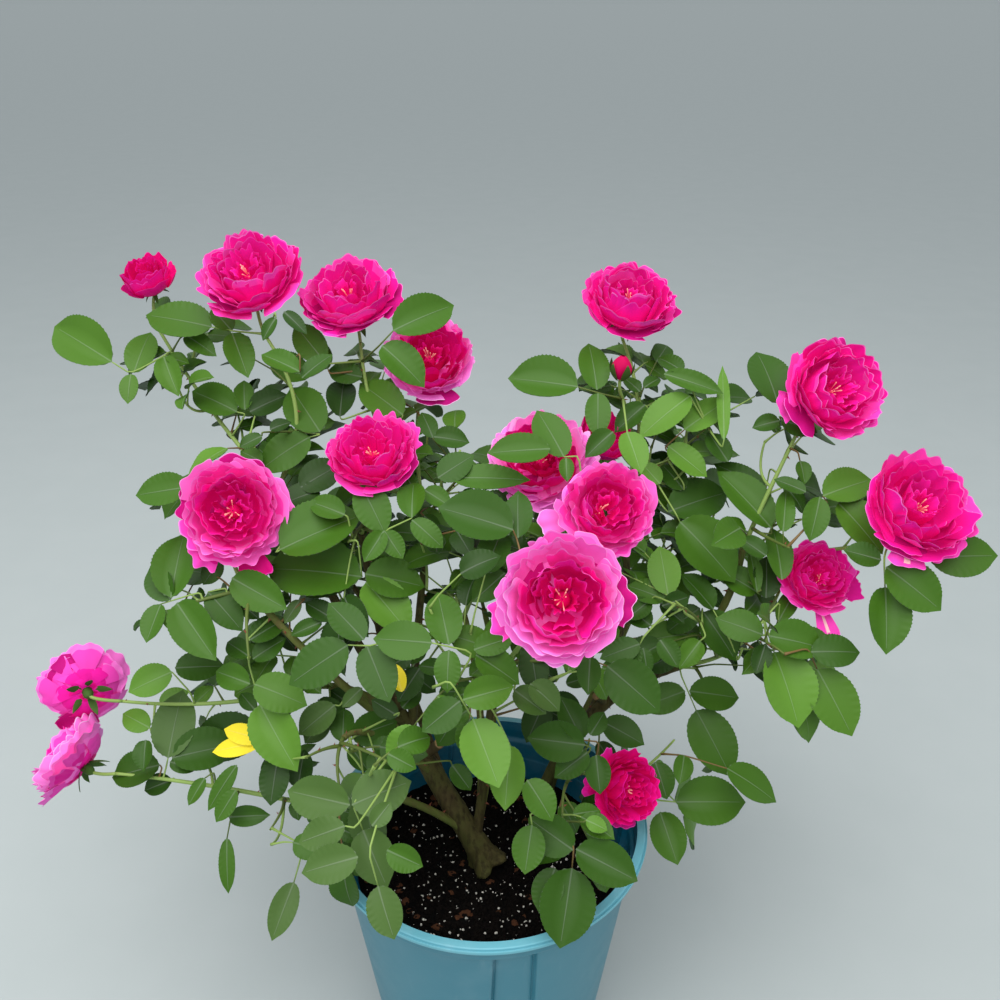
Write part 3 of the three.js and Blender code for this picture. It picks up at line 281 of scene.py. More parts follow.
# Leaves that show from the front. Each has how far back it hangs in millimetres, then places across and
# down in that view, in thousandths of its width: where its stalk bends, and from base to tip its end leaflet
# and the leaflets at its sides, with a tint where one stands out and a share of its width where it is narrow
SHOWN = [
    (185, (131, 374), [(112, 362, 54, 325), (134, 373, 148, 328), (131, 374, 126, 400)]),
    (165, (232, 331), [(212, 327, 147, 312), (232, 331, 212, 308), (232, 333, 247, 373)]),
    (175, (180, 338), [(185, 335, 213, 351)]),
    (170, (168, 352), [(164, 357, 175, 391), (166, 357, 188, 362)]),
    (150, (246, 414), [(237, 412, 192, 388), (245, 410, 243, 379), (250, 412, 285, 393, "deep")]),
    (120, (322, 434), [(310, 437, 258, 465), (320, 432, 288, 382)]),
    (160, (325, 364), [(325, 362, 295, 325)]),
    (100, (262, 464), [(262, 462, 240, 450)]),
    (60, (205, 486), [(190, 487, 137, 494)]),
    (165, (330, 374), [(328, 369, 312, 341), (309, 378, 271, 360), (362, 377, 329, 370, "dark")]),
    (-45, (592, 748), [(585, 745, 530, 738, "dark"), (588, 752, 556, 776, "dark"),
        (596, 755, 600, 792, "dark")]),
    (20, (656, 624), [(651, 626, 624, 604, "dark"), (662, 606, 690, 596, "deep")]),
    (-20, (425, 665), [(420, 668, 398, 700, "deep"), (412, 655, 385, 668, "deep")]),
    (-30, (400, 712), [(398, 716, 372, 700, "deep"), (402, 708, 420, 688, "dark")]),
    (20, (548, 700), [(545, 700, 528, 740, "deep"), (552, 696, 580, 715, "deep")]),
    (125, (378, 347), [(393, 331, 453, 300), (382, 346, 424, 380)]),
    (150, (342, 420), [(340, 417, 343, 375, "deep")]),
    (135, (402, 418), [(403, 415, 360, 381)]),
    (120, (434, 440), [(433, 438, 422, 410, "dark"), (434, 437, 468, 440, "dark")]),
    (60, (445, 482), [(452, 478, 526, 476, "mid", 0.6), (438, 478, 472, 455)]),
    (25, (384, 531), [(412, 518, 412, 478), (412, 520, 442, 545), (384, 531, 402, 557),
        (384, 531, 365, 560)]),
    (-10, (517, 539), [(513, 530, 442, 506), (518, 538, 517, 490)]),
    (30, (358, 540), [(362, 577, 263, 562), (365, 574, 423, 584), (366, 582, 408, 628, "light")]),
    (25, (275, 553), [(280, 550, 357, 512)]),
    (40, (348, 517), [(345, 515, 310, 500)]),
    (50, (361, 480), [(361, 485, 384, 530)]),
    (90, (305, 495), [(300, 488, 340, 463, "deep"), (320, 490, 281, 503, "deep")]),
    (15, (200, 592), [(161, 604, 146, 640), (171, 598, 181, 533), (171, 600, 148, 567, "dark"),
        (177, 603, 212, 656), (166, 610, 176, 630, "light")]),
    (50, (221, 560), [(221, 560, 203, 583, "dark")]),
    (20, (226, 588), [(208, 592, 240, 626, "dark"), (232, 578, 283, 607), (240, 602, 258, 618, "deep")]),
    (0, (247, 640), [(250, 640, 285, 618), (250, 657, 225, 640), (253, 659, 283, 638)]),
    (30, (190, 692), [(172, 672, 129, 690, "light"), (175, 668, 222, 665)]),
    (60, (205, 702), [(196, 703, 212, 686, "light"), (160, 706, 186, 690, "light")]),
    (0, (166, 768), [(168, 758, 180, 692, "greyish"), (172, 758, 236, 742, "dark"),
        (170, 762, 195, 768, "dark")]),
    (20, (152, 735), [(150, 728, 121, 712, "light")]),
    (0, (162, 768), [(160, 765, 112, 776, "dark"), (146, 740, 142, 769, "dark")]),
    (-5, (174, 778), [(172, 780, 145, 790, "deep")]),
    (-20, (249, 665), [(260, 704, 292, 767, "light"), (250, 684, 214, 670), (254, 684, 304, 702, "fresh")]),
    (-10, (257, 712), [(255, 710, 240, 692, "dark")]),
    (-15, (266, 738), [(262, 742, 208, 751, "yellow", 0.5), (263, 740, 222, 728, "yellow", 0.7),
        (262, 740, 250, 718, "yellow")]),
    (20, (264, 728), [(262, 735, 188, 740, "deep")]),
    (-20, (214, 772), [(205, 778, 188, 804, "mid", 0.7), (237, 765, 206, 809, "mid", 0.45)]),
    (-40, (232, 812), [(227, 838, 226, 893, "mid", 0.42), (229, 817, 267, 815, "dark", 0.75),
        (236, 790, 216, 821, "mid", 0.7)]),
    (-40, (284, 760), [(278, 757, 270, 803, "deep"), (298, 788, 303, 750)]),
    (-120, (352, 803), [(363, 830, 385, 885, "greyish"), (352, 805, 408, 780, "greyish"),
        (350, 805, 288, 791, "greyish")]),
    (-150, (356, 828), [(345, 826, 299, 842, "greyish"), (372, 826, 390, 803, "greyish")]),
    (-170, (368, 850), [(378, 886, 392, 938, "greyish"), (387, 850, 421, 866),
        (358, 857, 302, 872, "greyish")]),
    (-70, (304, 846), [(294, 882, 272, 938, "greyish", 0.62)]),
    (0, (340, 706), [(335, 705, 300, 733, "greyish"), (362, 688, 343, 706, "greyish", 0.8)]),
    (25, (330, 700), [(328, 716, 305, 742, "greyish"), (318, 700, 346, 722, "dark"),
        (352, 706, 330, 690, "deep")]),
    (30, (412, 668), [(408, 672, 436, 690, "deep"), (404, 660, 426, 650, "dark")]),
    (40, (560, 676), [(556, 682, 536, 662, "deep"), (566, 684, 590, 676, "dark")]),
    (70, (275, 632), [(272, 634, 252, 652, "dark"), (280, 630, 296, 650, "deep")]),
    (60, (420, 486), [(424, 490, 450, 505, "mid"), (416, 492, 402, 470, "dark")]),
    (110, (275, 312), [(276, 318, 262, 338, "dark", 0.8), (284, 312, 305, 330, "deep", 0.8)]),
    (30, (655, 596), [(650, 600, 628, 618, "dark"), (660, 604, 684, 622, "deep")]),
    (60, (860, 512), [(862, 508, 880, 498, "dark"), (858, 520, 876, 546, "deep")]),
    (90, (568, 600), [(572, 598, 590, 584, "deep"), (560, 606, 545, 622, "dark")]),
    (100, (262, 432), [(262, 436, 240, 446, "dark"), (270, 430, 290, 420, "deep")]),
    (85, (420, 512), [(424, 516, 440, 530, "dark"), (418, 506, 436, 494, "deep")]),
    (10, (330, 622), [(334, 620, 306, 601, "deep"), (322, 622, 292, 634, "dark", 0.8)]),
    (25, (306, 598), [(300, 600, 285, 622, "greyish", 0.7), (342, 590, 306, 595, "greyish", 0.5)]),
    (80, (300, 352), [(300, 372, 262, 352, "mid", 0.8), (302, 378, 330, 352, "dark", 0.8)]),
    (-20, (345, 744), [(343, 742, 343, 708, "dark"), (352, 738, 397, 720, "dark"),
        (350, 746, 368, 770, "dark")]),
    (-50, (375, 646), [(348, 645, 290, 682), (364, 640, 330, 602, "dark"), (367, 646, 388, 698)]),
    (-60, (474, 652), [(432, 643, 376, 638), (449, 645, 438, 590), (449, 650, 446, 690),
        (474, 650, 512, 636), (476, 655, 519, 681)]),
    (-95, (450, 680), [(473, 719, 498, 783, "light"), (460, 701, 424, 730, "dark"), (463, 700, 512, 686)]),
    (-50, (438, 676), [(446, 670, 418, 664, "dark"), (402, 692, 392, 662, "yellow", 0.8)]),
    (0, (504, 576), [(505, 573, 474, 600, "dark"), (503, 600, 520, 633, "deep")]),
    (-60, (514, 690), [(514, 690, 545, 712, "greyish"), (530, 684, 560, 708, "greyish")]),
    (-30, (527, 643), [(530, 645, 538, 690, "deep")]),
    (-70, (565, 650), [(607, 666, 659, 709), (590, 657, 588, 692)]),
    (-40, (600, 742), [(582, 740, 562, 698, "dark"), (590, 735, 605, 712, "dark")]),
    (50, (678, 668), [(696, 710, 731, 773), (685, 691, 643, 706), (689, 691, 739, 697)]),
    (25, (600, 716), [(603, 722, 643, 742, "dark"), (598, 742, 614, 766, "dark")]),
    (-5, (655, 800), [(676, 802, 744, 801), (655, 762, 668, 798, "dark"), (660, 812, 677, 862)]),
    (0, (763, 615), [(774, 652, 803, 723, "light"), (768, 636, 825, 645), (763, 635, 718, 617),
        (765, 645, 757, 672, "deep")]),
    (50, (702, 608), [(703, 612, 737, 657, "dark"), (700, 608, 667, 630)]),
    (-10, (808, 648), [(817, 669, 853, 733), (811, 652, 860, 650, "dark")]),
    (60, (772, 648), [(778, 650, 810, 662, "dark")]),
    (-20, (644, 636), [(640, 644, 602, 657, "dark"), (638, 647, 626, 670, "dark"),
        (643, 648, 649, 674, "dark"), (660, 640, 678, 665, "dark")]),
    (20, (706, 636), [(700, 641, 681, 666)]),
    (95, (779, 416), [(781, 420, 816, 430), (779, 421, 754, 426)]),
    (100, (781, 412), [(778, 404, 761, 346)]),
    (85, (798, 452), [(800, 461, 806, 482)]),
    (52, (828, 504), [(823, 496, 871, 477), (838, 503, 884, 548), (820, 497, 812, 538, "mid", 0.95),
        (806, 492, 776, 478, "dark", 0.7)]),
    (35, (784, 548), [(783, 532, 787, 490, "mid", 0.75), (782, 580, 776, 524, "mid", 0.7)]),
    (50, (762, 590), [(757, 592, 752, 551, "mid", 0.5), (766, 598, 768, 556, "deep"),
        (766, 556, 742, 538, "dark")]),
    (40, (780, 600), [(778, 622, 797, 588, "mid", 0.7)]),
    (-5, (884, 556), [(885, 587, 889, 650, "mid"), (881, 560, 846, 550, "dark"),
        (886, 567, 941, 607, "mid")]),
    (8, (912, 556), [(929, 557, 996, 555)]),
    (140, (602, 394), [(578, 387, 511, 376), (597, 390, 591, 340), (598, 393, 598, 433)]),
    (150, (688, 380), [(683, 372, 659, 354), (664, 374, 721, 390, "mid", 0.55)]),
    (100, (722, 448), [(724, 440, 723, 366, "light", 0.26)]),
    (140, (692, 400), [(690, 396, 641, 430, "light", 0.8)]),
    (130, (664, 448), [(684, 430, 727, 399, "light", 0.8), (668, 446, 706, 474, "light", 0.85)]),
    (88, (628, 438), [(627, 432, 641, 469, "light"), (613, 432, 587, 453)]),
    (150, (648, 408), [(645, 405, 616, 429, "dark"), (640, 392, 625, 376), (644, 388, 660, 376)]),
    (55, (580, 456), [(564, 457, 539, 409), (550, 449, 491, 451, "mid", 0.85), (566, 458, 567, 480)]),
    (120, (684, 484), [(684, 490, 663, 462, "dark"), (660, 484, 642, 463, "light")]),
    (110, (664, 508), [(668, 512, 727, 489, "dark")]),
    (90, (676, 514), [(680, 522, 736, 576)]),
    (70, (772, 534), [(771, 528, 722, 470, "mid", 0.75)]),
    (110, (770, 468), [(766, 489, 716, 462, "dark", 0.6), (728, 462, 709, 431, "dark")]),
    (30, (672, 598), [(668, 595, 660, 545, "light"), (665, 600, 629, 583)]),
    (60, (760, 594), [(757, 592, 723, 570)]),
    (-75, (494, 712), [(510, 745, 505, 807, "light", 0.85)]),
    (-70, (482, 735), [(487, 752, 499, 788)]),
    (-60, (450, 760), [(452, 765, 470, 789)]),
    (-110, (530, 812), [(532, 825, 525, 872), (527, 780, 553, 818)]),
    (-115, (574, 846), [(572, 868, 561, 945), (573, 850, 529, 819), (576, 849, 635, 879),
        (555, 868, 540, 911)]),
    (-110, (584, 822), [(586, 820, 607, 829)]),
]
# Where the bush lets the view pass right through: across, down and radius, in the same thousandths
SKY = [
    (148, 428, 32), (105, 425, 28), (120, 530, 34), (478, 430, 20), (110, 830, 42), (60, 850, 40),
    (165, 835, 26), (252, 870, 22), (745, 735, 24), (665, 748, 14), (750, 684, 12), (428, 578, 8),
    (452, 560, 9), (470, 612, 10), (536, 668, 9), (604, 704, 9), (397, 618, 7), (352, 668, 6),
    (655, 612, 6), (700, 668, 14), (215, 400, 8), (150, 545, 14), (330, 480, 7), (375, 500, 6),
    (660, 688, 8), (300, 612, 6), (860, 440, 26), (690, 740, 12), (790, 740, 20), (870, 700, 16),
    (500, 705, 12), (205, 640, 8), (715, 720, 8), (220, 378, 12), (265, 366, 9), (735, 425, 9),
    (130, 792, 18), (182, 792, 16), (220, 790, 12), (245, 790, 12), (205, 832, 22), (246, 846, 18),
    (238, 905, 26), (282, 858, 16), (330, 776, 14), (495, 398, 14), (878, 668, 12), (868, 625, 8),
    (262, 922, 12), (272, 822, 14), (281, 840, 10), (752, 524, 10), (745, 508, 8), (435, 768, 14),
    (212, 432, 10), (172, 345, 7), (214, 360, 9), (408, 392, 8), (362, 392, 6), (262, 838, 9),
    (478, 700, 7), (690, 470, 6), (755, 440, 8), (640, 700, 7), (545, 470, 6), (470, 470, 6),
    (160, 660, 10), (155, 690, 8), (118, 752, 8), (788, 466, 8), (765, 440, 7), (312, 932, 16),
    (328, 912, 12), (812, 745, 16), (778, 452, 9), (818, 455, 12), (690, 855, 14), (186, 345, 6),
    (120, 745, 12), (205, 758, 9), (290, 905, 14), (200, 880, 26),
]

# The source's rule of growth: a bloom's stalk, how leaves stand along a shoot, and how a leaf is laid out.
# Sizes of a leaf's parts are shares of the length of its end leaflet.
STALK_KNEE = 0.45
STALK_NECK = 0.2
SUNK_IN_HIP = 2
INTERNODE = 43
BARE_FOOT = 14
BARE_UNDER_BLOOM = 26
GOLDEN_ANGLE = 2.39996
LEAF_TRIES = 4
LEAF_LENGTH = (50, 68)
MOST_LEAF_LENGTH = 70
FIVE_LEAFLETS = 0.7
LEAF_LEAN = (0.35, 0.75)
PETIOLE = 0.45
PAIR_GAP = 0.5
END_GAP = 0.3
PAIR_SIZES = (0.78, 0.56)
PAIR_ANGLES = (0.95, 1.25)
LEAFLET_WIDTH = 0.9
WIDEST_AT = 0.42
OUTWARD_TILT = 0.6
TILT_JITTER = 0.5
DROOP = 0.22
STALK_DROOP = 0.3
SIDE_DROOP = 0.6
REACHING_LIFT = 0.06
# The source's random numbers, and the room that leaves, twigs, blooms and the rim keep free round them
SEED = 20
SEED_STEP = 1664525
SEED_SHIFT = 1013904223
SEED_RANGE = 4294967296
LEAF_ROOM = 6.5
TWIG_ROOM = 3.5
BLOOM_ROOM = 0.52
RIM_ROOM = 10
TWIG_STEP = 8
CELL = 60
# Places over a leaflet where its room is tried: shares of its length, and of its half width there
LEAFLET_PLACES = np.array([
    (0.14, 0), (0.3, 0.55), (0.3, -0.55), (0.5, 0), (0.5, 0.6), (0.5, -0.6), (0.72, 0.5), (0.72, -0.5),
    (0.92, 0),
])
FACING = np.array((0, -0.3, 0.9))
# How far off an axis a way square to a heading is first taken, and the step that a heading is read over
OFF_AXIS = 0.01
HEADING_STEP = 0.01


# Growth, by the rule of the source

def vec(*numbers):
    return np.array(numbers, float)


def unit(a):
    return a / math.sqrt(a @ a)


def square(a, along):
    """a turned square to along."""
    return unit(a - along * (a @ along))


class Seeded:
    """Numbers from 0 to 1 that come out the same each run."""

    def __init__(self, seed):
        self.state = seed

    def __call__(self):
        self.state = (self.state * SEED_STEP + SEED_SHIFT) % SEED_RANGE
        return self.state / SEED_RANGE

    def between(self, least, most):
        return least + (most - least) * self()


def jitter(random):
    return vec(random() - 0.5, random() - 0.5, random() - 0.5)


def round_turns(count):
    return np.arange(count) / count * math.tau


def ring(radius, turns, height):
    """Places round the upright axis."""
    return np.stack(np.broadcast_arrays(radius * np.cos(turns), radius * np.sin(turns), height), -1)


def turned_out(heads, turn, off_axis=OFF_AXIS):
    """A way square to a heading, turned about it."""
    right = square(vec(0, 1, off_axis), heads)
    return right * math.cos(turn) + np.cross(heads, right) * math.sin(turn)


def bend(start, via, end):
    """The path through three places, for one share of its length or an array of them."""
    start, via, end = vec(*start), vec(*via), vec(*end)
    pull = via * 2 - (start + end) * 0.5

    def path(share):
        t = np.asarray(share, float)[..., None]
        return start * (1 - t) ** 2 + pull * (2 * t * (1 - t)) + end * t**2

    return path


def heading(path, t, step=HEADING_STEP):
    return unit(path(min(1, t + step)) - path(max(0, t - step)))


def path_length(path):
    a, b, c = path(0), path(0.5), path(1)
    return math.dist(a, b) + math.dist(b, c)


def spaced(path, step):
    steps = max(1, math.ceil(path_length(path) / step))
    return path(np.arange(steps + 1) / steps)


class Taken:
    """Places that are taken, in cells, so that a new leaf looks only at what is near it."""

    def __init__(self):
        self.cells = {}
        self.packed = {}
        self.owners = {None: -1}

    def cell(self, place):
        return tuple(int(math.floor(v / CELL)) for v in place)

    def add(self, places, room, owner):
        number = self.owners.setdefault(owner, len(self.owners))
        for place in np.atleast_2d(places):
            key = self.cell(place)
            self.cells.setdefault(key, []).append((*place, room, number))
            self.packed.pop(key, None)

    def add_leaf(self, leaf, room):
        self.add(stalk_places(leaf), TWIG_ROOM, leaf["mass"])
        for leaflet in leaf["leaflets"]:
            self.add(leaflet_places(leaflet), room, leaf["mass"])

    def near(self, places):
        keys = set()
        for x, y, z in {self.cell(place) for place in places}:
            keys.update((x + i, y + j, z + k) for i in (-1, 0, 1) for j in (-1, 0, 1) for k in (-1, 0, 1))
        for key in keys & self.cells.keys():
            if key not in self.packed:
                self.packed[key] = np.array(self.cells[key])
            yield self.packed[key]

    def meets(self, places, room, owner=None):
        number = self.owners.get(owner, -1)
        rows = list(self.near(places))
        if not rows:
            return False
        rows = np.vstack(rows)
        rows = rows[rows[:, 4] != number]
        apart = np.linalg.norm(rows[None, :, :3] - places[:, None, :], axis=2)
        return bool((apart < rows[None, :, 3] + room).any())


def outside_space(places):
    """True if a place is in the pot's wall or rim, or below the soil's surface inside it."""
    from_axis = np.hypot(places[:, 0], places[:, 1])
    over = places[:, 2] > POT_HEIGHT + RIM_ROOM
    beside = from_axis > RIM_RADIUS + RIM_ROOM
    in_mouth = (places[:, 2] > SOIL_TOP + RIM_ROOM) & (from_axis < RIM_RADIUS - 3 * RIM_ROOM)
    return not (over | beside | in_mouth).all()


def make_leaflet(base, heads, normal, length):
    side = unit(np.cross(heads, normal))
    width = length * LEAFLET_WIDTH
    return dict(base=base, along=heads, side=side, normal=np.cross(side, heads), length=length, width=width)


def leaflet_places(leaflet):
    share, across = LEAFLET_PLACES[:, :1], LEAFLET_PLACES[:, 1:]
    rise = np.where(share < WIDEST_AT, share / WIDEST_AT, (1 - share) / (1 - WIDEST_AT))
    middle = leaflet["base"] + leaflet["along"] * (share * leaflet["length"])
    return middle + leaflet["side"] * (across * leaflet["width"] * 0.5 * rise)


def stalk_share(pairs):
    return END_GAP + PAIR_GAP * (pairs - 1)


def lay_leaf(root, heads, facing, length, petiole, pairs):
    """One compound leaf: its stalk, nodes with pairs of side leaflets, and its end leaflet."""
    lifted = unit(heads + vec(0, 0, DROOP))
    knee = root + lifted * petiole
    onward = unit(heads + vec(0, 0, -DROOP * STALK_DROOP))
    end = knee + onward * (stalk_share(pairs) * length)
    normal = square(facing, onward)
    side = np.cross(onward, normal)
    tip_heads = unit(onward + vec(0, 0, -DROOP))
    nodes = []
    for pair in reversed(range(pairs)):
        place = end - onward * ((END_GAP + PAIR_GAP * pair) * length)
        spread = PAIR_ANGLES[pair]
        for hand in (-1, 1):
            direction = onward * math.cos(spread) + side * (hand * math.sin(spread))
            leaflet_heads = unit(direction + vec(0, 0, -DROOP * SIDE_DROOP))
            facing_out = square(normal, leaflet_heads)
            nodes.append(make_leaflet(place, leaflet_heads, facing_out, length * PAIR_SIZES[pair]))
    last = make_leaflet(end, tip_heads, square(normal, tip_heads), length)
    return dict(root=root, knee=knee, end=end, sides=nodes, last=last)


def stalk_places(leaf):
    places = []
    for a, b in ((leaf["root"], leaf["knee"]), (leaf["knee"], leaf["end"])):
        steps = math.ceil(math.dist(a, b) / TWIG_STEP)
        places += [a + (b - a) * (i / steps) for i in range(1, steps + 1)]
    return np.array(places)


def settle_leaf(leaf, taken, owner, room=LEAF_ROOM, within=None):
    """Keeps a leaf if its stalk and end leaflet are free, with those of its side leaflets that are free."""

    def free(leaflet):
        places = leaflet_places(leaflet)
        if outside_space(places) or (within and (in_opening(places) or not within(places))):
            return False
        return not taken.meets(places, room)

    stalk = stalk_places(leaf)
    rest = stalk[1:]
    if len(rest) and (outside_space(rest) or taken.meets(rest, TWIG_ROOM, owner)):
        return None
    if within and in_opening(stalk, len(BLOOMS)):
        return None
    if not free(leaf["last"]):
        return None
    leaf = dict(leaf, leaflets=[leaf["last"]] + [side for side in leaf["sides"] if free(side)], mass=owner)
    taken.add_leaf(leaf, room)
    return leaf


def leaf_facing(root, random):
    outward = unit(vec(root[0], root[1], 1)) * (1, 1, 0)
    return unit(FACING + outward * OUTWARD_TILT + jitter(random) * TILT_JITTER)


def reaching_leaf(root, tip, pairs, random):
    tip = vec(*tip)
    reach = math.dist(tip, root)
    length = min(MOST_LEAF_LENGTH, reach / (PETIOLE + stalk_share(pairs) + 1))
    petiole = reach - (stalk_share(pairs) + 1) * length
    heads = unit(unit(tip - root) + vec(0, 0, REACHING_LIFT))
    return lay_leaf(root, heads, leaf_facing(root, random), length, petiole, pairs)


def ordinary_leaf(path, t, turn, random, scale=1.0):
    root = path(t)
    heads = heading(path, t)
    direction = unit(turned_out(heads, turn) + heads * random.between(*LEAF_LEAN))
    length = random.between(*LEAF_LENGTH) * scale
    pairs = 2 if random() < FIVE_LEAFLETS else 1
    return lay_leaf(root, direction, leaf_facing(root, random), length, PETIOLE * length, pairs)


def limb_paths():
    paths = {}
    for name, limb in LIMBS.items():
        start = limb["foot"] if "foot" in limb else paths[limb["on"]](limb["at"])
        paths[name] = bend(start, limb["via"], limb["tip"])
    return paths


def grow_shoots(paths, bent=()):
    shoots = []
    for mass, (bough, rows) in MASSES.items():
        own = []
        for row in rows:
            if "at" in row:
                start = own[0]["path"](row["at"])
            else:
                start = paths[bough](1) + heading(paths[bough], 1) * GAP
            via = BENT_BEHIND[row["bloom"]] if row.get("bloom") in bent else row["via"]
            own.append(dict(row, mass=mass, path=bend(start, via, row["tip"])))
        shoots += own
    return shoots


def stalk_path(shoot):
    """The stalk of the bloom that stands on a shoot's tip."""
    bloom = BLOOMS[shoot["bloom"]]
    faces = unit(vec(*bloom["faces"]))
    facing = heading(shoot["path"], 1)
    foot = shoot["path"](1) + facing * GAP
    hip = vec(*bloom["at"]) + faces * ((BUD_HIP if bloom.get("closed") else OPEN_HIP) * bloom["width"])
    reach = math.dist(hip, foot)
    knee = foot + facing * (reach * STALK_KNEE)
    neck = hip - faces * (reach * STALK_NECK)
    return bend(foot, (knee + neck) * 0.5, hip + faces * SUNK_IN_HIP)


def places_of_limbs(paths, shoots):
    taken = Taken()
    for name, limb in LIMBS.items():
        taken.add(spaced(paths[name], TWIG_STEP), limb["radii"][0] + TWIG_ROOM, name)
    for shoot in shoots:
        taken.add(spaced(shoot["path"], TWIG_STEP), TWIG_ROOM, shoot["mass"])
        if "bloom" in shoot:
            bloom = BLOOMS[shoot["bloom"]]
            taken.add(spaced(stalk_path(shoot), TWIG_STEP), TWIG_ROOM, shoot["bloom"])
            taken.add(vec(*bloom["at"]), bloom["width"] * BLOOM_ROOM, shoot["bloom"])
    return taken


def leaves_along(shoot, taken, random):
    """The leaves of one shoot, a golden angle apart. One that finds no room turns on, or is left out."""
    leaves = []
    length = path_length(shoot["path"])
    bare = BARE_UNDER_BLOOM if "bloom" in shoot else 0
    turn = random() * math.tau
    far = BARE_FOOT
    while far < length - bare:
        turn += GOLDEN_ANGLE
        for attempt in range(LEAF_TRIES):
            leaf = ordinary_leaf(shoot["path"], far / length, turn + attempt * GOLDEN_ANGLE, random)
            leaf = settle_leaf(leaf, taken, shoot["mass"])
            if leaf:
                leaves.append(leaf)
                break
        far += INTERNODE
    return leaves


# Finer growth within the same reach

# A leaflet turns to the light above and in front: these shares of its tilt from there are taken back
LIGHT = np.array((0, -0.62, 0.72))
LIGHT_OUTWARD = 0.35
TURNED_TO_LIGHT = 0.32
ROLLED_TO_LIGHT = 0.6
# The share of its grown size that a leaf is drawn at, then the finer leaves' room, seed, steps and sizes
LIFE_SIZE = 0.88
FINE_ROOM = 3.8
FINE_SEED = 71
FINE_STEP = 25
BOUGH_STEP = 17
FINE_SCALES = (0.5, 0.84)
# The leaves that show from the front: how they tilt and curl, and where shoots and boughs can carry them
SHOWN_SEED = 33
SHOWN_JITTER = 0.3
CARRIER_PLACES = 40
SHOOTS_CARRY_FROM = 0.05
BOUGHS_CARRY_FROM = 0.3
CALM = 0.5
BENT_STEPS = 201
BENT_WITHIN = 1
# The bush is open to the front before shown leaves, its mouth and its blooms, less so before the veiled ones
OPEN_BEHIND = 0.3
CLEAR_PARTS = (0.3, 0.66)
CLEAR_BLADE = 0.27
CLEAR_SHARE = 0.46
VEILED_SHARE = 0.2
VEILED = ("bloom_behind_leaves", "bloom_centre_back", "bloom_small_centre")
MOUTH_OPENINGS = [
    ((-5, -5, 240), 36), ((-35, 15, 275), 24), ((-30, -70, 210), 60), ((50, -60, 210), 34),
    ((20, 20, 240), 34), ((70, 78, 250), 22), ((40, 110, 262), 26),
]
BOUGH_LEAF_FROM = 0.28
TRUNK_MASS = "leaves_low_front_left"
REACH_OF_MASS = 38
# Side shoots: their lengths and spacing, how they head, and where their leaves stand
SPRIG_LENGTH = (26, 48)
SPRIG_STEP = 44
SPRIG_OUT = 0.7
SPRIG_ONWARD = 0.6
SPRIG_UP = 0.5
SPRIG_RADII = (1.5, 1.0)
SPRIG_LEAVES_AT = (0.62, 1.0)
# From where on a shoot its sprigs and its finer leaves stand
SPRIGS_FROM = 0.2
LEAVES_FROM = 0.1


def turn_to_light(leaflet):
    """The leaflet with its heading and its face turned part of the way to the light."""
    base, heads = leaflet["base"], leaflet["along"]
    outward = unit(vec(base[0], base[1] * 0.5, 1)) * (1, 1, 0)
    light = unit(LIGHT + outward * LIGHT_OUTWARD)
    heads = unit(heads - light * ((heads @ light) * TURNED_TO_LIGHT))
    face = square(light, heads) * ROLLED_TO_LIGHT + leaflet["normal"] * (1 - ROLLED_TO_LIGHT)
    return make_leaflet(base, heads, square(face, heads), leaflet["length"])


def life_size(leaf, shown):
    """A leaf of the source's rule, turned to the light, at its real size, clear of openings and shown leaves.

    A leaf that gives the crown its outline keeps its tip."""
    leaflets = []
    for leaflet in leaf["leaflets"]:
        length = leaflet["length"] * LIFE_SIZE
        if leaf.get("reaching") and not leaflets:
            base = leaflet["base"] + leaflet["along"] * (leaflet["length"] - length)
            leaflet = make_leaflet(base, leaflet["along"], leaflet["normal"], length)
        else:
            leaflet = turn_to_light(leaflet)
            leaflet = make_leaflet(leaflet["base"], leaflet["along"], leaflet["normal"], length)
        places = leaflet_places(leaflet)
        if shown.meets(places, FINE_ROOM) or in_opening(places):
            if not leaflets:
                return None
            continue
        leaflets.append(leaflet)
    leaf = dict(leaf, leaflets=leaflets, end=leaflets[0]["base"])
    return None if in_opening(stalk_places(leaf), len(BLOOMS)) else leaf


def sight(across, down):
    """The way the view looks at a place in it."""
    aside, up = (across - VIEW_MIDDLE) / VIEW_WIDTH, (VIEW_MIDDLE - down) / VIEW_WIDTH
    return VIEW_AHEAD + vec(aside, 0, 0) + VIEW_UP * up


def on_plane(across, down, through, square_to):
    """Where the sight of a place in the view meets a plane."""
    way = sight(across, down)
    return VIEWED_FROM + way * (((through - VIEWED_FROM) @ square_to) / (way @ square_to))


def viewed(places):
    """Across, down and distance ahead of places in the view."""
    away = places - VIEWED_FROM
    ahead = away @ VIEW_AHEAD
    across = VIEW_MIDDLE + VIEW_WIDTH * away[..., 0] / ahead
    return across, VIEW_MIDDLE - VIEW_WIDTH * (away @ VIEW_UP) / ahead, ahead


def shown_leaflet(back, random, across, down, tip_across, tip_down, tone=None, share=1.0):
    """A leaflet from its base and tip in the view, lying in a plane that faces the light."""
    base = on_plane(across, down, vec(0, back, 0), vec(0, 1, 0))
    normal = unit(LIGHT + jitter(random) * SHOWN_JITTER)
    run = on_plane(tip_across, tip_down, base, normal) - base
    length = math.dist(run, (0, 0, 0))
    seen = math.dist((across, down), (tip_across, tip_down)) / VIEW_WIDTH * viewed(base)[2]
    leaflet = make_leaflet(base, run / length, normal, length)
    return dict(leaflet, tone=tone, calm=CALM, slim=share * seen / length)


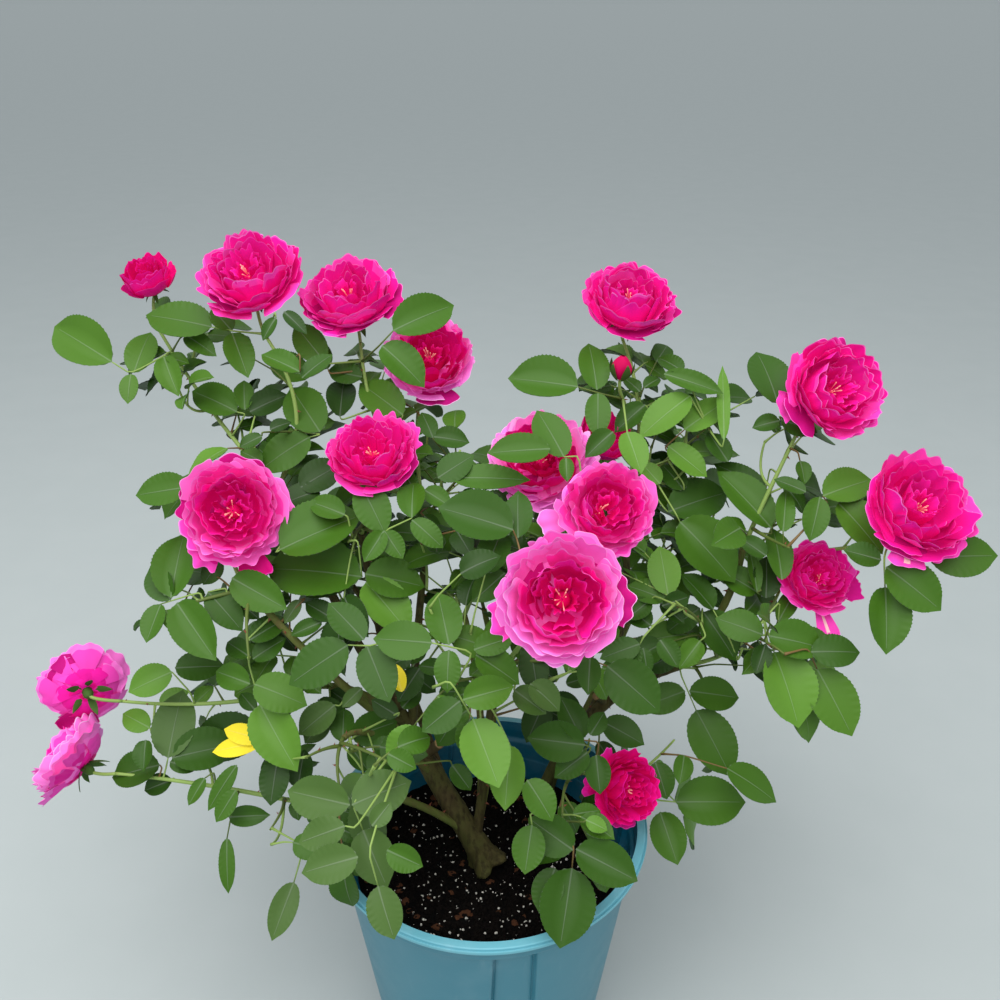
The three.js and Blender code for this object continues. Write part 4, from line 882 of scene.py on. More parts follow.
def shown_leaves(paths, shoots):
    """The leaves of the front, each on a stalk from the nearest place of a shoot."""
    random = Seeded(SHOWN_SEED)
    on_shoots = np.linspace(SHOOTS_CARRY_FROM, 1, CARRIER_PLACES)
    on_boughs = np.linspace(BOUGHS_CARRY_FROM, 1, CARRIER_PLACES)
    carriers = [(shoot["mass"], shoot["path"](on_shoots)) for shoot in shoots]
    carriers += [(mass_of_bough(name), path(on_boughs)) for name, path in paths.items()]
    leaves = []
    for back, bend_at, rows in SHOWN:
        leaflets = [shown_leaflet(back, random, *row) for row in rows]
        knee = on_plane(*bend_at, vec(0, back, 0), vec(0, 1, 0))
        near = [np.linalg.norm(places - knee, axis=1) for _, places in carriers]
        nearest = min(range(len(near)), key=lambda number: near[number].min())
        mass, places = carriers[nearest]
        root = places[near[nearest].argmin()]
        leaves.append(dict(root=root, knee=knee, end=leaflets[0]["base"], leaflets=leaflets, mass=mass))
    return leaves


def in_opening(places, first=None):
    """True if a place is where the view passes freely to a bloom, the mouth or a shown leaf, or through."""
    across, down, ahead = viewed(places)
    u, v, radius, limit = openings()[:, :first]
    off = np.hypot(across[:, None] - u, down[:, None] - v)
    return bool(((off < radius) & (ahead[:, None] < limit)).any())


@lru_cache(maxsize=1)
def openings():
    """Rows of across, down and radius in the view, and how far ahead each opening ends."""
    balls = []
    for name, bloom in BLOOMS.items():
        share = VEILED_SHARE if name in VEILED else CLEAR_SHARE
        balls.append((vec(*bloom["at"]), bloom["width"] * share))
    balls += [(vec(*middle), radius) for middle, radius in MOUTH_OPENINGS]
    for leaf in grown_shown():
        for leaflet in leaf["leaflets"]:
            run = leaflet["along"] * leaflet["length"]
            balls += [(leaflet["base"] + run * part, leaflet["length"] * CLEAR_BLADE) for part in CLEAR_PARTS]
    rows = []
    for middle, radius in balls:
        across, down, ahead = viewed(middle)
        rows.append((across, down, VIEW_WIDTH * radius / ahead, ahead + OPEN_BEHIND * radius))
    rows += [(across, down, radius, math.inf) for across, down, radius in SKY]
    return np.array(rows).T


@lru_cache(maxsize=1)
def grown_shown():
    paths = limb_paths()
    return shown_leaves(paths, grow_shoots(paths, BENT_BEHIND))


def rooted_anew(leaf, shoots, bent):
    """The leaf with its foot at the same share of its shoot, where that shoot is bent."""
    shares = np.linspace(0, 1, BENT_STEPS)
    for before, after in zip(shoots, bent):
        places = before["path"](shares)
        nearest = np.linalg.norm(places - leaf["root"], axis=1).argmin()
        if after.get("bloom") in BENT_BEHIND and math.dist(places[nearest], leaf["root"]) < BENT_WITHIN:
            return dict(leaf, root=after["path"](shares[nearest]))
    return leaf


def turned_leaf(leaf):
    sides = [turn_to_light(side) for side in leaf["sides"]]
    return dict(leaf, sides=sides, last=turn_to_light(leaf["last"]))


def mass_reach(leaves, shoots):
    """For each mass, a test that places lie within a set distance of what the source's rule grew there."""
    clouds = {}
    for shoot in shoots:
        clouds.setdefault(shoot["mass"], []).append(spaced(shoot["path"], 2 * TWIG_STEP))
    for leaf in leaves:
        clouds[leaf["mass"]] += [leaflet_places(leaflet) for leaflet in leaf["leaflets"]]
    clouds = {mass: np.vstack(rows) for mass, rows in clouds.items()}

    def test(mass):
        cloud = clouds[mass]

        def within(places):
            apart = np.linalg.norm(cloud[None] - places[:, None], axis=2).min(axis=1)
            return bool((apart < REACH_OF_MASS).all())

        return within

    return test


def try_leaf(path, t, turn, taken, owner, random, within):
    """A finer leaf at one place, turned on by the golden angle until it finds room."""
    for attempt in range(LEAF_TRIES + 1):
        scale = random.between(*FINE_SCALES)
        leaf = turned_leaf(ordinary_leaf(path, t, turn + attempt * GOLDEN_ANGLE, random, scale))
        leaf = settle_leaf(leaf, taken, owner, FINE_ROOM, within)
        if leaf:
            return leaf
    return None


def fine_leaves(path, first, last, owner, taken, random, within, step):
    length = path_length(path)
    turn = random() * math.tau
    leaves = []
    for far in np.arange(first * length, last * length, step):
        turn += GOLDEN_ANGLE
        leaves.append(try_leaf(path, far / length, turn, taken, owner, random, within))
    return list(filter(None, leaves))


def grow_sprigs(path, first, last, owner, taken, random, within):
    """Short side shoots, each with leaves of its own."""
    sprigs, leaves = [], []
    length = path_length(path)
    turn = random() * math.tau
    for far in np.arange(first * length, last * length, SPRIG_STEP):
        turn += GOLDEN_ANGLE
        start = path(far / length)
        heads = heading(path, far / length)
        out = turned_out(heads, turn)
        reach = random.between(*SPRIG_LENGTH)
        via = start + unit(out + heads * 0.5) * reach * 0.5
        tip = start + unit(out * SPRIG_OUT + heads * SPRIG_ONWARD + vec(0, 0, SPRIG_UP)) * reach
        sprig = bend(start, via, tip)
        places = spaced(sprig, TWIG_STEP)[2:]
        if outside_space(places) or taken.meets(places, TWIG_ROOM, owner) or not within(places):
            continue
        own = [try_leaf(sprig, t, turn * 2 + t, taken, owner, random, within) for t in SPRIG_LEAVES_AT]
        if any(own):
            taken.add(places, TWIG_ROOM, owner)
            sprigs.append(dict(path=sprig, mass=owner))
            leaves += filter(None, own)
    return sprigs, leaves


def mass_of_bough(name):
    """The mass that a bough carries. The trunk carries none, so its leaves go with the mass at its tip."""
    masses = {bough: mass for mass, (bough, _) in MASSES.items()}
    return masses.get(name, TRUNK_MASS)


@lru_cache(maxsize=1)
def grown():
    """Everything that grows: paths of limbs, shoots, sprigs and leaves."""
    random = Seeded(SEED)
    paths = limb_paths()
    shoots = grow_shoots(paths)
    taken = places_of_limbs(paths, shoots)
    leaves = []
    for mass, shoot, at, tip, pairs in REACHING:
        own = [one for one in shoots if one["mass"] == mass][shoot]
        leaf = settle_leaf(reaching_leaf(own["path"](at), tip, pairs, random), taken, mass)
        if leaf:
            leaves.append(dict(leaf, reaching=True))
    for shoot in shoots:
        leaves += leaves_along(shoot, taken, random)
    fine = Seeded(FINE_SEED)
    within = mass_reach(leaves, shoots)
    bent = grow_shoots(paths, BENT_BEHIND)
    leaves = [rooted_anew(leaf, shoots, bent) for leaf in leaves]
    shoots = bent
    shown = Taken()
    for leaf in grown_shown():
        for leaflet in leaf["leaflets"]:
            shown.add(leaflet_places(leaflet), FINE_ROOM, leaf["mass"])
    leaves = grown_shown() + list(filter(None, (life_size(leaf, shown) for leaf in leaves)))
    taken = places_of_limbs(paths, shoots)
    for leaf in leaves:
        taken.add_leaf(leaf, FINE_ROOM)
    stretches = []
    for shoot in shoots:
        last = 1 - BARE_UNDER_BLOOM / path_length(shoot["path"]) if "bloom" in shoot else 1
        stretches.append((shoot["path"], shoot["mass"], SPRIGS_FROM, LEAVES_FROM, last, FINE_STEP))
    for name, path in paths.items():
        stretches.append((path, mass_of_bough(name), BOUGH_LEAF_FROM, BOUGH_LEAF_FROM, 1, BOUGH_STEP))
    sprigs = []
    for path, mass, sprigs_from, leaves_from, last, step in stretches:
        more, extra = grow_sprigs(path, sprigs_from, last, mass, taken, fine, within(mass))
        sprigs += more
        leaves += extra + fine_leaves(path, leaves_from, last, mass, taken, fine, within(mass), step)
    return dict(paths=paths, shoots=shoots, sprigs=sprigs, leaves=leaves)


# Meshes

def in_scene(name, data):
    made = bpy.data.objects.new(name, data)
    bpy.context.scene.collection.objects.link(made)
    return made


class Skin:
    """A mesh in the making: places in millimetres, and three-sided faces with the finish of each."""

    def __init__(self):
        self.places = []
        self.faces = []
        self.finishes = []
        self.count = 0

    def add(self, places, faces, finish):
        places = np.asarray(places, float).reshape(-1, 3)
        faces = np.asarray(faces, int).reshape(-1, 3)
        self.places.append(places)
        self.faces.append(faces + self.count)
        self.finishes.append(np.full(len(faces), 0, int) + np.asarray(finish, int))
        self.count += len(places)

    def piece(self, name, materials, slot, nodes, smooth=True):
        places = np.vstack(self.places) * MM
        faces = np.vstack(self.faces)
        mesh = bpy.data.meshes.new(name)
        mesh.vertices.add(len(places))
        mesh.vertices.foreach_set("co", places.ravel())
        mesh.loops.add(faces.size)
        mesh.loops.foreach_set("vertex_index", faces.ravel())
        mesh.polygons.add(len(faces))
        mesh.polygons.foreach_set("loop_start", np.arange(len(faces)) * 3)
        mesh.polygons.foreach_set("material_index", np.concatenate(self.finishes))
        mesh.polygons.foreach_set("use_smooth", np.full(len(faces), smooth))
        for material in materials:
            mesh.materials.append(material)
        mesh.update(calc_edges=True)
        mesh.validate()
        piece = in_scene(name, mesh)
        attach(piece, BODY)
        if nodes:
            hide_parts(*nodes)
        return piece


NO_RUN = 1e-6
TUBE_OFF_AXIS = 0.013
NEAR_Y = 0.9


def grid_faces(rows, columns, closed=False):
    """Faces of a grid of places, row by row. closed joins the last column to the first."""
    cells = columns if closed else columns - 1
    r, c = np.meshgrid(np.arange(rows - 1), np.arange(cells), indexing="ij")
    a = r * columns + c
    b = r * columns + (c + 1) % columns
    lower = np.stack([a, b, b + columns], -1)
    upper = np.stack([a, b + columns, a + columns], -1)
    return np.concatenate([lower.reshape(-1, 3), upper.reshape(-1, 3)])


def tube(places, radii, sides, relief=0.0):
    """A round limb along places, closed at both ends.

    relief is a share of the radius for each ring and side."""
    places = np.asarray(places, float)
    count = len(places)
    runs = np.gradient(places, axis=0)
    for i in range(1, count):
        if np.linalg.norm(runs[i]) < NO_RUN:
            runs[i] = runs[i - 1]
    runs /= np.linalg.norm(runs, axis=1)[:, None]
    aside = vec(1, 0, TUBE_OFF_AXIS) if abs(runs[0][1]) > NEAR_Y else vec(0, 1, TUBE_OFF_AXIS)
    right = square(aside, runs[0])
    turns = round_turns(sides)[:, None]
    out = np.broadcast_to(radii, count)[:, None] * (1 + np.broadcast_to(relief, (count, sides)))
    rings = []
    for place, run, reach in zip(places, runs, out):
        right = square(right, run)
        round_it = np.cos(turns) * right + np.sin(turns) * np.cross(run, right)
        rings.append(place + round_it * reach[:, None])
    foot, tip = count * sides + np.arange(2)
    around = np.arange(sides)
    after = (around + 1) % sides
    top = (count - 1) * sides
    caps = [(foot, after, around), (tip, top + around, top + after)]
    caps = [np.stack(np.broadcast_arrays(*corners), -1) for corners in caps]
    return np.vstack([*rings, places[[0, -1]]]), np.vstack([grid_faces(count, sides, closed=True), *caps])


# Leaflets

# The blade: its grid, how its rows sweep forward, its outline, tip, notches, pleats and back
BLADE_ROWS = 18
BLADE_COLUMNS = np.array([-1, -0.5, 0, 0.5, 1])
CHEVRON = 0.1
BLADE_ROUND = (0.56, 0.6)
BLADE_ACUMEN = 1.06
REAL_WIDTH = 0.72
# The finishes of a leaflet, for each tint
BLADE, RIB, BACK = range(3)
NOTCH = 0.955
PLEAT = 0.8
BACK_DROP = 0.6
BACK_NARROWER = 0.985
TOOTH_LEAN = 0.008
PLEAT_PEAK = 1.2
WAVE_OTHER_SIDE = -0.6
BACK_ROWS = np.linspace(0.02, 0.985, 8)
MIDRIB_ROWS = np.linspace(0, 0.96, 9)
MIDRIB_HALVES = (0.75, 0.22)
MIDRIB_LIFT = 0.16
MIDRIB_CREST = 0.34
# How leaflets differ, from least to most
BLADE_SHAPES = {
    "curl": (0.2, 0.95),
    "fold": (0.12, 0.6),
    "wave": (0.3, 2.0),
    "beat": (0.9, 1.7),
    "phase": (0, 1),
    "twist": (-0.35, 0.35),
    "narrow": (0.9, 1.06),
}
CALMED = ("curl", "wave", "twist")


def half_width(u):
    """Share of the leaflet's half width at each share of its length."""
    a, b = BLADE_ROUND
    peak = a / (a + b)
    u = np.clip(u, 0, 1)
    return u**a * (1 - u) ** b / (peak**a * (1 - peak) ** b)


def blade_template():
    """Shares along and across for each place of a blade, its pleat, and its faces."""
    places = [(0.0, 0.0, 0.0), (BLADE_ACUMEN, 0.0, 0.0)]
    index = {}
    for row in range(1, BLADE_ROWS):
        for column, v in enumerate(BLADE_COLUMNS):
            u = row / BLADE_ROWS + CHEVRON * abs(v) * math.sin(math.pi * row / BLADE_ROWS)
            index[row, column] = len(places)
            places.append((u, v, (1 if row % 2 else -1) * abs(v) * (PLEAT_PEAK - abs(v))))
    faces = []
    for side, inner, outer in ((-1, 1, 0), (1, 3, 4)):
        def put(a, b, c):
            faces.append((a, b, c) if side > 0 else (a, c, b))

        put(0, index[1, outer], index[1, inner])
        put(0, index[1, inner], index[1, 2])
        for row in range(1, BLADE_ROWS - 1):
            middle, after = index[row, 2], index[row + 1, 2]
            a, b = index[row, inner], index[row + 1, inner]
            c, d = index[row, outer], index[row + 1, outer]
            notch = len(places)
            places.append(((places[c][0] + places[d][0]) / 2 - TOOTH_LEAN, side * NOTCH, 0.0))
            for corners in ((middle, a, b), (middle, b, after), (a, c, notch), (a, notch, b), (b, notch, d)):
                put(*corners)
        last = BLADE_ROWS - 1
        put(1, index[last, inner], index[last, outer])
        put(1, index[last, 2], index[last, inner])
    return np.array(places), np.array(faces)


def bend_blade(shares, leaflets, shape, lift=0.0):
    """Places of many leaflets at once: shares is (along, across, pleat) rows, shape their own curves."""
    u, v, pleat = shares.T
    length = leaflets["length"][:, None]
    curl, fold, wave, beat, phase, twist, narrow = (shape[key][:, None] for key in BLADE_SHAPES)
    y = v * half_width(u) * length * REAL_WIDTH * narrow * 0.5
    x = length * np.sin(curl * u) / curl
    sink = length * (1 - np.cos(curl * u)) / curl
    wave = wave * v**2 * np.sin(math.tau * (beat * u + phase)) * np.where(v > 0, 1, WAVE_OTHER_SIDE)
    z = fold * np.abs(y) - sink + wave + pleat * PLEAT + lift + twist * u * y
    axes = (leaflets[key][:, None] for key in ("along", "side", "normal"))
    return leaflets["base"][:, None] + sum(axis * far[..., None] for axis, far in zip(axes, (x, y, z)))


def repeat_faces(faces, copies, places_each):
    return (faces[None] + (np.arange(copies) * places_each)[:, None, None]).reshape(-1, 3)


def back_template():
    shares = [(row + CHEVRON * abs(v) * math.sin(math.pi * row) * (1 - row), v * BACK_NARROWER, 0.0)
              for row in BACK_ROWS for v in BLADE_COLUMNS]
    return np.array(shares), grid_faces(len(BACK_ROWS), len(BLADE_COLUMNS))[:, ::-1]


def midrib_shape(leaflets, shape):
    """The raised rib down the middle of each leaflet: three places a row."""
    spine = bend_blade(MIDRIB_ROWS[:, None] * (1, 0, 0), leaflets, shape)
    foot, tip = MIDRIB_HALVES
    half = (foot + (tip - foot) * MIDRIB_ROWS)[None, :, None]
    side, up = leaflets["side"][:, None], leaflets["normal"][:, None]
    low = half * shape["fold"][:, None, None] + MIDRIB_LIFT
    crest = spine + up * (MIDRIB_CREST + low * 0.5)
    places = np.stack([spine - side * half + up * low, crest, spine + side * half + up * low], 2)
    return places.reshape(len(spine), -1, 3), grid_faces(len(MIDRIB_ROWS), 3)[:, ::-1]


def stack(leaflets):
    usual = dict(slim=1.0, calm=1.0)
    keys = ("base", "along", "side", "normal", "length", "slim", "calm")
    return {key: np.array([leaflet.get(key, usual.get(key)) for leaflet in leaflets]) for key in keys}


def add_leaflets(skin, leaflets, tints, dice):
    """Adds leaflets with their backs and midribs. Finishes come in threes: blade, rib, back."""
    leaflets = stack(leaflets)
    count = len(leaflets["length"])
    shape = {key: dice.uniform(*ends, count) for key, ends in BLADE_SHAPES.items()}
    shape["narrow"] = shape["narrow"] * leaflets["slim"]
    for key in CALMED:
        shape[key] = shape[key] * leaflets["calm"]
    template, faces = blade_template()
    back, back_faces = back_template()
    parts = [
        (bend_blade(template, leaflets, shape), faces),
        midrib_shape(leaflets, shape),
        (bend_blade(back, leaflets, shape, -BACK_DROP), back_faces),
    ]
    for kind in (BLADE, BACK, RIB):
        places, part_faces = parts[kind]
        finish = np.repeat(np.array(tints) * len(parts) + kind, len(part_faces))
        skin.add(places, repeat_faces(part_faces, count, places.shape[1]), finish)


TINTS = ["deep", "dark", "mid", "fresh", "light", "greyish", "yellow"]
# How many leaves in a hundred take each tint, by where their mass is
TINT_SHARES = {
    "top": (8, 22, 40, 22, 8, 0, 0),
    "low": (14, 30, 30, 8, 2, 16, 0),
    "back": (16, 34, 36, 12, 2, 0, 0),
    "usual": (12, 28, 38, 16, 6, 0, 0),
    "shown": (6, 26, 46, 20, 2, 0, 0),
}


def tint_shares(mass):
    for word in ("low_front_left", "low_left"):
        if mass.endswith(word):
            return TINT_SHARES["low"]
    for word in ("top", "back"):
        if word in mass:
            return TINT_SHARES[word]
    return TINT_SHARES["usual"]


# Blooms

PETAL_ROWS = np.array([0, 0.16, 0.32, 0.48, 0.62, 0.74, 0.84, 0.91, 0.96, 0.985, 1.0])
PETAL_COLUMNS = np.linspace(-1, 1, 23)
# Whorls from the outside in: petals, where the middle line bends and ends (radius and height as shares of
# the bloom's width), how far each petal overlaps the next, and how strongly its edge ruffles
OPEN_WHORLS = [
    (7, (0.33, -0.23), (0.49, -0.13), 1.5, 0.021),
    (8, (0.33, -0.25), (0.485, -0.05), 1.5, 0.021),
    (8, (0.31, -0.26), (0.445, 0.02), 1.45, 0.02),
    (8, (0.29, -0.26), (0.4, 0.065), 1.4, 0.019),
    (7, (0.27, -0.26), (0.35, 0.1), 1.35, 0.018),
    (6, (0.23, -0.24), (0.28, 0.115), 1.3, 0.018),
    (6, (0.16, -0.19), (0.18, 0.05), 1.3, 0.02),
    (5, (0.09, -0.14), (0.1, 0.03), 1.2, 0.02),
]
HALF_OPEN_WHORLS = [
    (5, (0.4, -0.2), (0.5, 0.02), 1.5, 0.024),
    (6, (0.4, -0.22), (0.46, 0.18), 1.5, 0.022),
    (6, (0.33, -0.22), (0.38, 0.26), 1.4, 0.02),
    (5, (0.24, -0.2), (0.27, 0.28), 1.4, 0.02),
    (5, (0.14, -0.14), (0.15, 0.24), 1.3, 0.02),
]
# Petal tints, from the darkest to the palest, then the other finishes of a bloom
PETAL_TINTS = ["wine", "crimson", "cerise", "hot", "bright", "pink", "lavender", "lilac"]
OTHER_FINISHES = ["plum", "cream", "sepal", "stamen"]
PLUM, CREAM, SEPAL, STAMEN, STEM = range(len(PETAL_TINTS), len(PETAL_TINTS) + 5)
# For each look: the tints of the petals' feet, then of their edges, from the outer whorl to the inner. The
# darker feet are partly painted shade in the folds, and the paler edges partly painted highlight
LOOKS = {
    "hot": ((2.0, 2.2, 2.4, 2.4, 2.4, 1.8, 1.6, 1.6), (3.9, 3.8, 3.7, 3.6, 3.4, 3.2, 3.2, 3.0)),
    "bright": ((2.4, 2.4, 2.4, 2.2, 2.0, 1.8, 1.5, 1.5), (3.9, 3.7, 3.5, 3.3, 3.1, 3.0, 2.8, 2.8)),
    "soft": ((3.0, 3.0, 2.6, 2.4, 2.2, 1.6, 1.2, 1.2), (5.0, 5.0, 4.8, 4.4, 3.8, 3.2, 2.8, 2.6)),
    "lavender": ((4.0, 4.0, 3.8, 3.2, 1.8, 1.2, 1.0, 1.0), (5.6, 5.8, 5.8, 5.4, 4.4, 2.8, 2.6, 2.6)),
    "aged": ((4.4, 4.0, 3.6, 2.4, 1.0, 0.6, 0.4, 0.4), (6.4, 6.6, 6.4, 5.2, 2.6, 1.8, 1.6, 1.4)),
    "deep": ((1.0, 1.0, 1.0, 0.8, 0.8, 0.6, 0.5, 0.5), (2.4, 2.2, 2.0, 1.8, 1.6, 1.5, 1.4, 1.4)),
}
# The petals' painted glow: emission strength in their own colour, standing in for light through thin petals
# and lifting the shade between them
PAINTED_PETAL_GLOW = 0.07
# How much paler a petal's last row is: partly its own pale edge, partly a painted highlight along the rolled
# rim
PETAL_RIM_PALE_AND_LIT = 1.3
TINT_POWER = 1.3
TINT_SHIFTS = (-0.4, 0.4)
CLAW = (0.035, -0.3)
# How far a petal's corners and a nick in its edge are cut back, and where across it the nick is
CORNER_CUT = 0.13
CORNER_POWER = 3.5
NICK_DEPTHS = (0, 0.06)
NICK_PLACES = (-0.3, 0.3)
NICK_WIDTH = 0.2
# The waves of a petal's edge and of its face: the height of each, and its least and most beats across
FRILL = [(0.7, 0.7, 1.1), (0.3, 1.0, 1.5)]
WAVES = [(0.8, 0.7, 1.1), (0.6, 1.2, 1.7)]
FRILL_SHARE = 0.6
WAVE_SHARE = 0.8
FRILL_POWER = 4
WAVE_POWER = 2.5
# How a petal's edge rolls over, how it tilts to one side, and how it narrows towards claw and edge
EDGE_ROLL = 0.035
ROLL_SHARES = (0.2, 1.3)
ROLL_FROM = 0.72
ROLL_OUT = 0.8
ROLL_DOWN = 0.6
SIDE_TILTS = (-0.03, 0.03)
TILT_FALL = 0.5
NARROWEST = 0.12
NARROWER_EDGE = 0.12
NARROWER_POWER = 4
LEAST_REACH = 0.1
WRAPS_LESS = 0.1
# The turn from whorl to whorl, and how the petals of one differ: their turn, size, rise, width and ruffle
WHORL_TURN = 2.4
PETAL_TURNS = (-0.28, 0.28)
PETAL_SIZES = (0.84, 1.07)
PETAL_RISES = (-0.06, 0.05)
PETAL_WIDTHS = (0.85, 1.1)
PETAL_RUFFLES = (0.7, 1.4)
HALF_OPEN_UNDER = 60
# The whorls where some petals fold in, how many do, how their tips move, and how many outer petals are plum
FOLDING_WHORLS = (4, 5, 6)
FOLDING_SHARE = 0.3
FOLDED_IN = (0.72, 1)
FOLDED_UP = (0, 0.02)
PLUM_SHARE = 0.3
# The rows of a pale foot, and the columns and rows of the pale stripe on a loose petal
PALE_FOOT_ROWS = 2
PALE_MIDDLE = slice(9, 13)
PALE_STRIPE_ROWS = 7
LOOSE_KNEE = (0.36, -0.27)
LOOSE_RISE = -0.2
LOOSE_WIDTH = 0.42
LOOSE_RUFFLE = 0.03
# The hip and the dome in the heart, as (radius, height) rows
HIP = [(0.02, -0.44), (0.062, -0.41), (0.08, -0.37), (0.07, -0.33), (0.085, -0.29), (0.02, -0.27)]
HIP_SIDES = 12
HIP_FROM_WIDTH = 60
HEART = [(0.07, -0.2), (0.05, -0.13), (0.005, -0.11)]
HEART_SIDES = 10
HEART_TINT = PETAL_TINTS.index("crimson")
# A sepal: how it is turned and droops, where it starts, how far it reaches and drops, and its half width
SEPALS = 5
SEPAL_ROWS = 7
SEPAL_TURNS = (-0.15, 0.15)
SEPAL_DROOPS = (0.1, 0.75)
SEPAL_FOOT = (0.07, -0.31)
SEPAL_REACH = 0.2
SEPAL_DROP = 0.26
SEPAL_CURL = 0.05
SEPAL_HALF = 0.042
SEPAL_FROM = 0.14
SEPAL_DIP = 0.012
# The stamens: where they stand, how they lean, their lengths and radii, and the swollen tip
STAMENS = 8
STAMEN_FOOT = (0.02, -0.12)
STAMEN_LEANS = (0.1, 0.7)
STAMEN_LENGTHS = (0.05, 0.11)
STAMEN_RADII = (0.25, 0.25, 0.6, 0.4)
STAMEN_SIDES = 5
ANTHER = 0.016
# The bud: its wrapped petals, and the clasp of sepals round them
BUD_ROWS = 12
BUD_SIDES = 24
BUD_FOOT = -0.5
BUD_HEIGHT = 1.1
BUD_HALF = 0.46
BUD_SWELLS = (0.1, 0.86)
BUD_FOLD = 0.07
BUD_FOLDS = 3
BUD_TWIST = 4
CLASP_ROWS = 8
CLASP_FOOT = -0.56
CLASP_HEIGHT = 0.95
CLASP_REACH = 0.1
CLASP_SWELL = 0.42
CLASP_SWELLS = (0.08, 0.62)
CLASP_FLARE = 0.1
CLASP_HALF = 0.2
CLASP_FROM = 0.1
ROUNDED = 0.8
# The stalk under a bloom, and from where it swells
STALK_ROWS = 14
STALK_SIDES = 8
STALK_RADIUS = 1.55
STALK_SWELL = 0.5
STALK_SWELLS_FROM = 0.85
# The way that a bloom's own right hand is squared from
ASIDE = (1, 0.02, 0.03)


def ripple(across, wave, dice):
    height, least, most = wave
    return height * np.sin(math.tau * (dice.uniform(least, most) * across + dice.random()))


def petal(turn, knee, tip, width, ruffle, dice):
    """One petal in the bloom's own frame, in shares of its width: places of its grid.

    It is laid round the bloom's axis like a part of a bowl, and its edge is rounded, rolled and frilled."""
    t, s = np.meshgrid(PETAL_ROWS, PETAL_COLUMNS, indexing="ij")
    nick = dice.uniform(*NICK_DEPTHS) * np.exp(-((s - dice.uniform(*NICK_PLACES)) / NICK_WIDTH) ** 2)
    outline = 1 - CORNER_CUT * np.abs(s) ** CORNER_POWER - nick
    frill = sum(ripple(s, wave, dice) for wave in FRILL)
    middle = bend(CLAW, knee, tip)(t * outline + ruffle * FRILL_SHARE * frill * t**FRILL_POWER)
    broad, fine = (ripple(s, wave, dice) for wave in WAVES)
    lift = WAVE_SHARE * ruffle * t**WAVE_POWER * (broad + fine * t**2)
    tilt = dice.uniform(*SIDE_TILTS) * s * t
    roll = EDGE_ROLL * dice.uniform(*ROLL_SHARES) * np.clip((t - ROLL_FROM) / (1 - ROLL_FROM), 0, 1) ** 2
    reach = middle[..., 0] + roll * ROLL_OUT + lift + tilt
    rise = middle[..., 1] - roll * ROLL_DOWN + lift * WAVE_SHARE - tilt * TILT_FALL
    half = width * 0.5 * np.maximum(t**0.5 * (1 - NARROWER_EDGE * t**NARROWER_POWER), NARROWEST)
    angle = turn + s * half / max(tip[0], LEAST_REACH) * (1 - WRAPS_LESS * t)
    return ring(reach, angle, rise)


def petal_finish(foot, edge, dice):
    """The finish of each face of a petal's grid: its tint runs from darker at the foot to paler at the edge,
    with a paler rim, partly the petal's own colour, partly painted shade in the folds and a painted highlight
    on the rim.
    """
    share = ((PETAL_ROWS[:-1] + PETAL_ROWS[1:]) / 2) ** TINT_POWER
    shift = dice.uniform(*TINT_SHIFTS)
    tint = foot + (edge - foot) * share + shift
    tint[-1] = edge + PETAL_RIM_PALE_AND_LIT + shift
    tint = np.round(np.clip(tint, 0, len(PETAL_TINTS) - 1)).astype(int)
    return np.repeat(tint[:, None], len(PETAL_COLUMNS) - 1, 1)


def both_triangles(cells):
    return np.concatenate([cells.ravel(), cells.ravel()])


def placed(bloom, part=""):
    """Sets places, given in shares of a bloom's width in its own frame, where that part of the bloom is."""
    at, width, faces = (bloom.get(part + key, bloom[key]) for key in ("at", "width", "faces"))
    faces = unit(vec(*faces))
    right = square(vec(*ASIDE), faces)
    axes = np.stack([right, np.cross(faces, right), faces])
    return lambda shares: vec(*at) + (np.reshape(shares, (-1, 3)) * width) @ axes


def lathe(profile, sides):
    """Places round a bloom's axis for (radius, height) rows, and their faces."""
    rings = [ring(radius, round_turns(sides), height) for radius, height in profile]
    return np.vstack(rings), grid_faces(len(profile), sides, closed=True)


def add_petals(skin, bloom, dice):
    place = placed(bloom, "petals_")
    half_open = bloom.get("petals_width", bloom["width"]) < HALF_OPEN_UNDER
    faces = grid_faces(len(PETAL_ROWS), len(PETAL_COLUMNS))
    start = dice.random() * math.tau
    for number, whorl in enumerate(HALF_OPEN_WHORLS if half_open else OPEN_WHORLS):
        count, knee, tip, overlap, ruffle = whorl
        foot, edge = (tints[number] for tints in LOOKS[bloom["look"]])
        start += WHORL_TURN
        for i in range(count):
            turn = start + (i + dice.uniform(*PETAL_TURNS)) * math.tau / count
            size = dice.uniform(*PETAL_SIZES)
            own_tip = vec(tip[0] * size, tip[1] + dice.uniform(*PETAL_RISES))
            if number in FOLDING_WHORLS and dice.random() < FOLDING_SHARE:
                own_tip = own_tip * FOLDED_IN + FOLDED_UP
            wide = overlap * math.tau * tip[0] / count * dice.uniform(*PETAL_WIDTHS)
            own_knee = (knee[0] * size, knee[1])
            places = petal(turn, own_knee, own_tip, wide, ruffle * dice.uniform(*PETAL_RUFFLES), dice)
            cells = petal_finish(foot, edge, dice)
            if number == 0 and dice.random() < PLUM_SHARE:
                cells[:-1] = PLUM
            if number == 0 and bloom.get("pale_foot"):
                cells[:PALE_FOOT_ROWS] = CREAM
            skin.add(place(places), faces, both_triangles(cells))
    for turn, reach, foot, edge in bloom.get("loose", ()):
        pale = foot == "cream"
        tip = (reach, LOOSE_RISE)
        places = petal(math.radians(turn), LOOSE_KNEE, tip, LOOSE_WIDTH, LOOSE_RUFFLE, dice)
        cells = petal_finish(edge if pale else foot, edge, dice)
        if pale:
            cells[:PALE_STRIPE_ROWS, PALE_MIDDLE] = CREAM
        skin.add(place(places), faces, both_triangles(cells))


